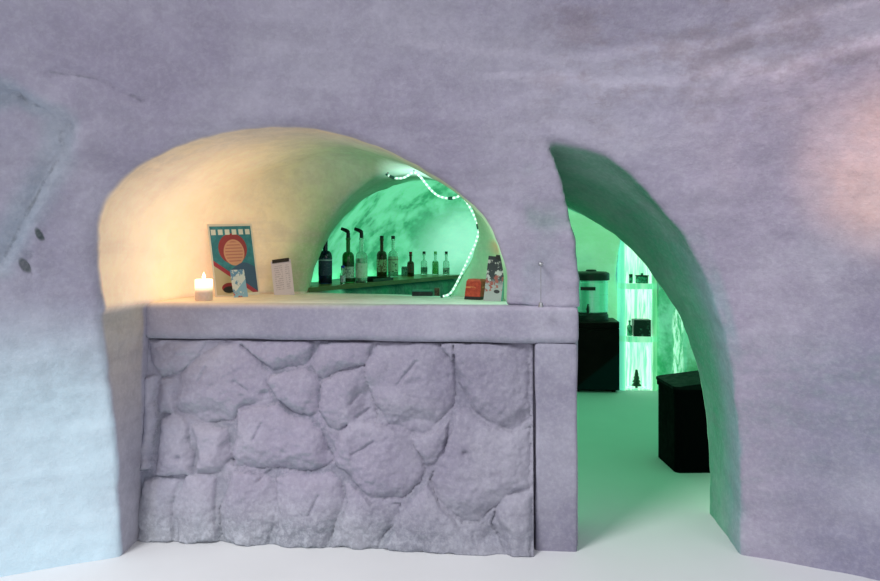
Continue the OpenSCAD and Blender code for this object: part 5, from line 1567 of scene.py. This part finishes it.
def assign_looks():
    """Every CAD node that stays gets the look of what it is."""
    peg = brushed("peg_metal", (0.42, 0.43, 0.45), 0.4)
    looks = {
        "worktop_board": plywood_look(), "ice_panel": ice_look(), "shelf_goods": goods_look(),
        "cabinet": cabinet_look("cabinet_sheet", False), "cabinet_door": cabinet_look("cabinet_door", True),
        "urn_body": urn_look(), "urn_lid": moulded("urn_black", (0.010, 0.012, 0.012), 0.4),
        "bin_body": moulded("bin_black", (0.0006, 0.0008, 0.0015), 0.75, ior=1.12),
        "bin_lid": moulded("bin_lid_grey", (0.001, 0.004, 0.004), 0.6, ior=1.2),
        "rope_pegs": peg, "pier_hook": peg, "candle": wax_look(), "candle_flame": flame_look(),
        "picture_board": poster_look(), "table_card": small_card_look(), "menu_card": menu_look(),
        "picture_card": dark_card_look(), "card_clips": moulded("clip_black", (0.008, 0.008, 0.009), 0.35),
        "tray": moulded("tray_black", (0.006, 0.012, 0.010), 0.4), "small_carton": carton_look(),
        "counter_box": teal_look(),
    }
    looks["ice_frame"] = looks["ice_panel"]
    looks["urn_fittings"] = looks["urn_lid"]
    for node_name, node_object in frame["nodes"].items():
        look = looks.get(node_name, snow_look)
        if node_object.material_slots:
            for spot in node_object.material_slots:
                spot.material = look
        else:
            node_object.data.materials.append(look)


def build_wick():
    foot = Vector((-1.39, 0.16, 1.1389))
    path = [foot + Vector((x, 0, z)) for x, z in ((0, 0), (0, 0.004), (0.0006, 0.008), (0.0016, 0.0115))]
    tube("candle_wick", smoothed(path, 4), [0.0007], moulded("wick_char", (0.03, 0.02, 0.015), 0.8), 8)


def stage():
    n = Nodes("floor")
    n.set(color=n.mix(n.noise(3, 2, 0.5), (0.66, 0.67, 0.69), (0.72, 0.73, 0.75)), rough=0.9)
    s = 40
    mesh = new_mesh("floor", [(-s, -s, 0), (s, -s, 0), (s, s, 0), (-s, s, 0)], [(0, 1, 2, 3)])
    mesh.materials.append(n.material)
    floor = bpy.data.objects.new("floor", mesh)
    bpy.context.scene.collection.objects.link(floor)


def lamp(name, place, aim, size, power):
    data = bpy.data.lights.new(name, "AREA")
    data.shape = "DISK"
    data.size = size
    data.energy = power
    made = bpy.data.objects.new(name, data)
    made.location = place
    made.rotation_euler = (Vector(aim) - Vector(place)).to_track_quat("-Z", "Y").to_euler()
    bpy.context.scene.collection.objects.link(made)


# The camera: its eye, the film's width in millimetres, and the focal length, the photograph's width
# and how far the horizon is shifted, all three in pixels.
EYE = (0, -3.015, 1.31)
FILM, FOCAL, PHOTO_WIDE, HORIZON_SHIFT = 36, 700, 880, 45.5


def light_and_camera():
    scene = bpy.context.scene
    world = bpy.data.worlds.new("world")
    world.use_nodes = True
    sky = world.node_tree.nodes["Background"].inputs
    sky["Color"].default_value = (0.92, 0.94, 1.0, 1)
    sky["Strength"].default_value = 0.5
    scene.world = world
    lamp("key", (-3.2, -5.6, 5.4), (-0.2, -1.7, 0.8), 2.2, 330)
    lamp("fill", (3.5, -6.5, 3.0), (0, -1.6, 1.0), 4.0, 60)
    data = bpy.data.cameras.new("camera")
    data.sensor_width = FILM
    data.lens = FILM * FOCAL / PHOTO_WIDE
    data.shift_y = -HORIZON_SHIFT / PHOTO_WIDE
    camera = bpy.data.objects.new("camera", data)
    camera.location = (EYE[0], EYE[1] - MID_Y, EYE[2])
    camera.rotation_euler = (math.pi / 2, 0, math.radians(5))
    scene.collection.objects.link(camera)
    scene.camera = camera
    scene.view_settings.view_transform = "Standard"


stage()
light_and_camera()
build_rope()
build_snow()
build_counter()
build_front()
build_bottles()
build_wick()
assign_looks()
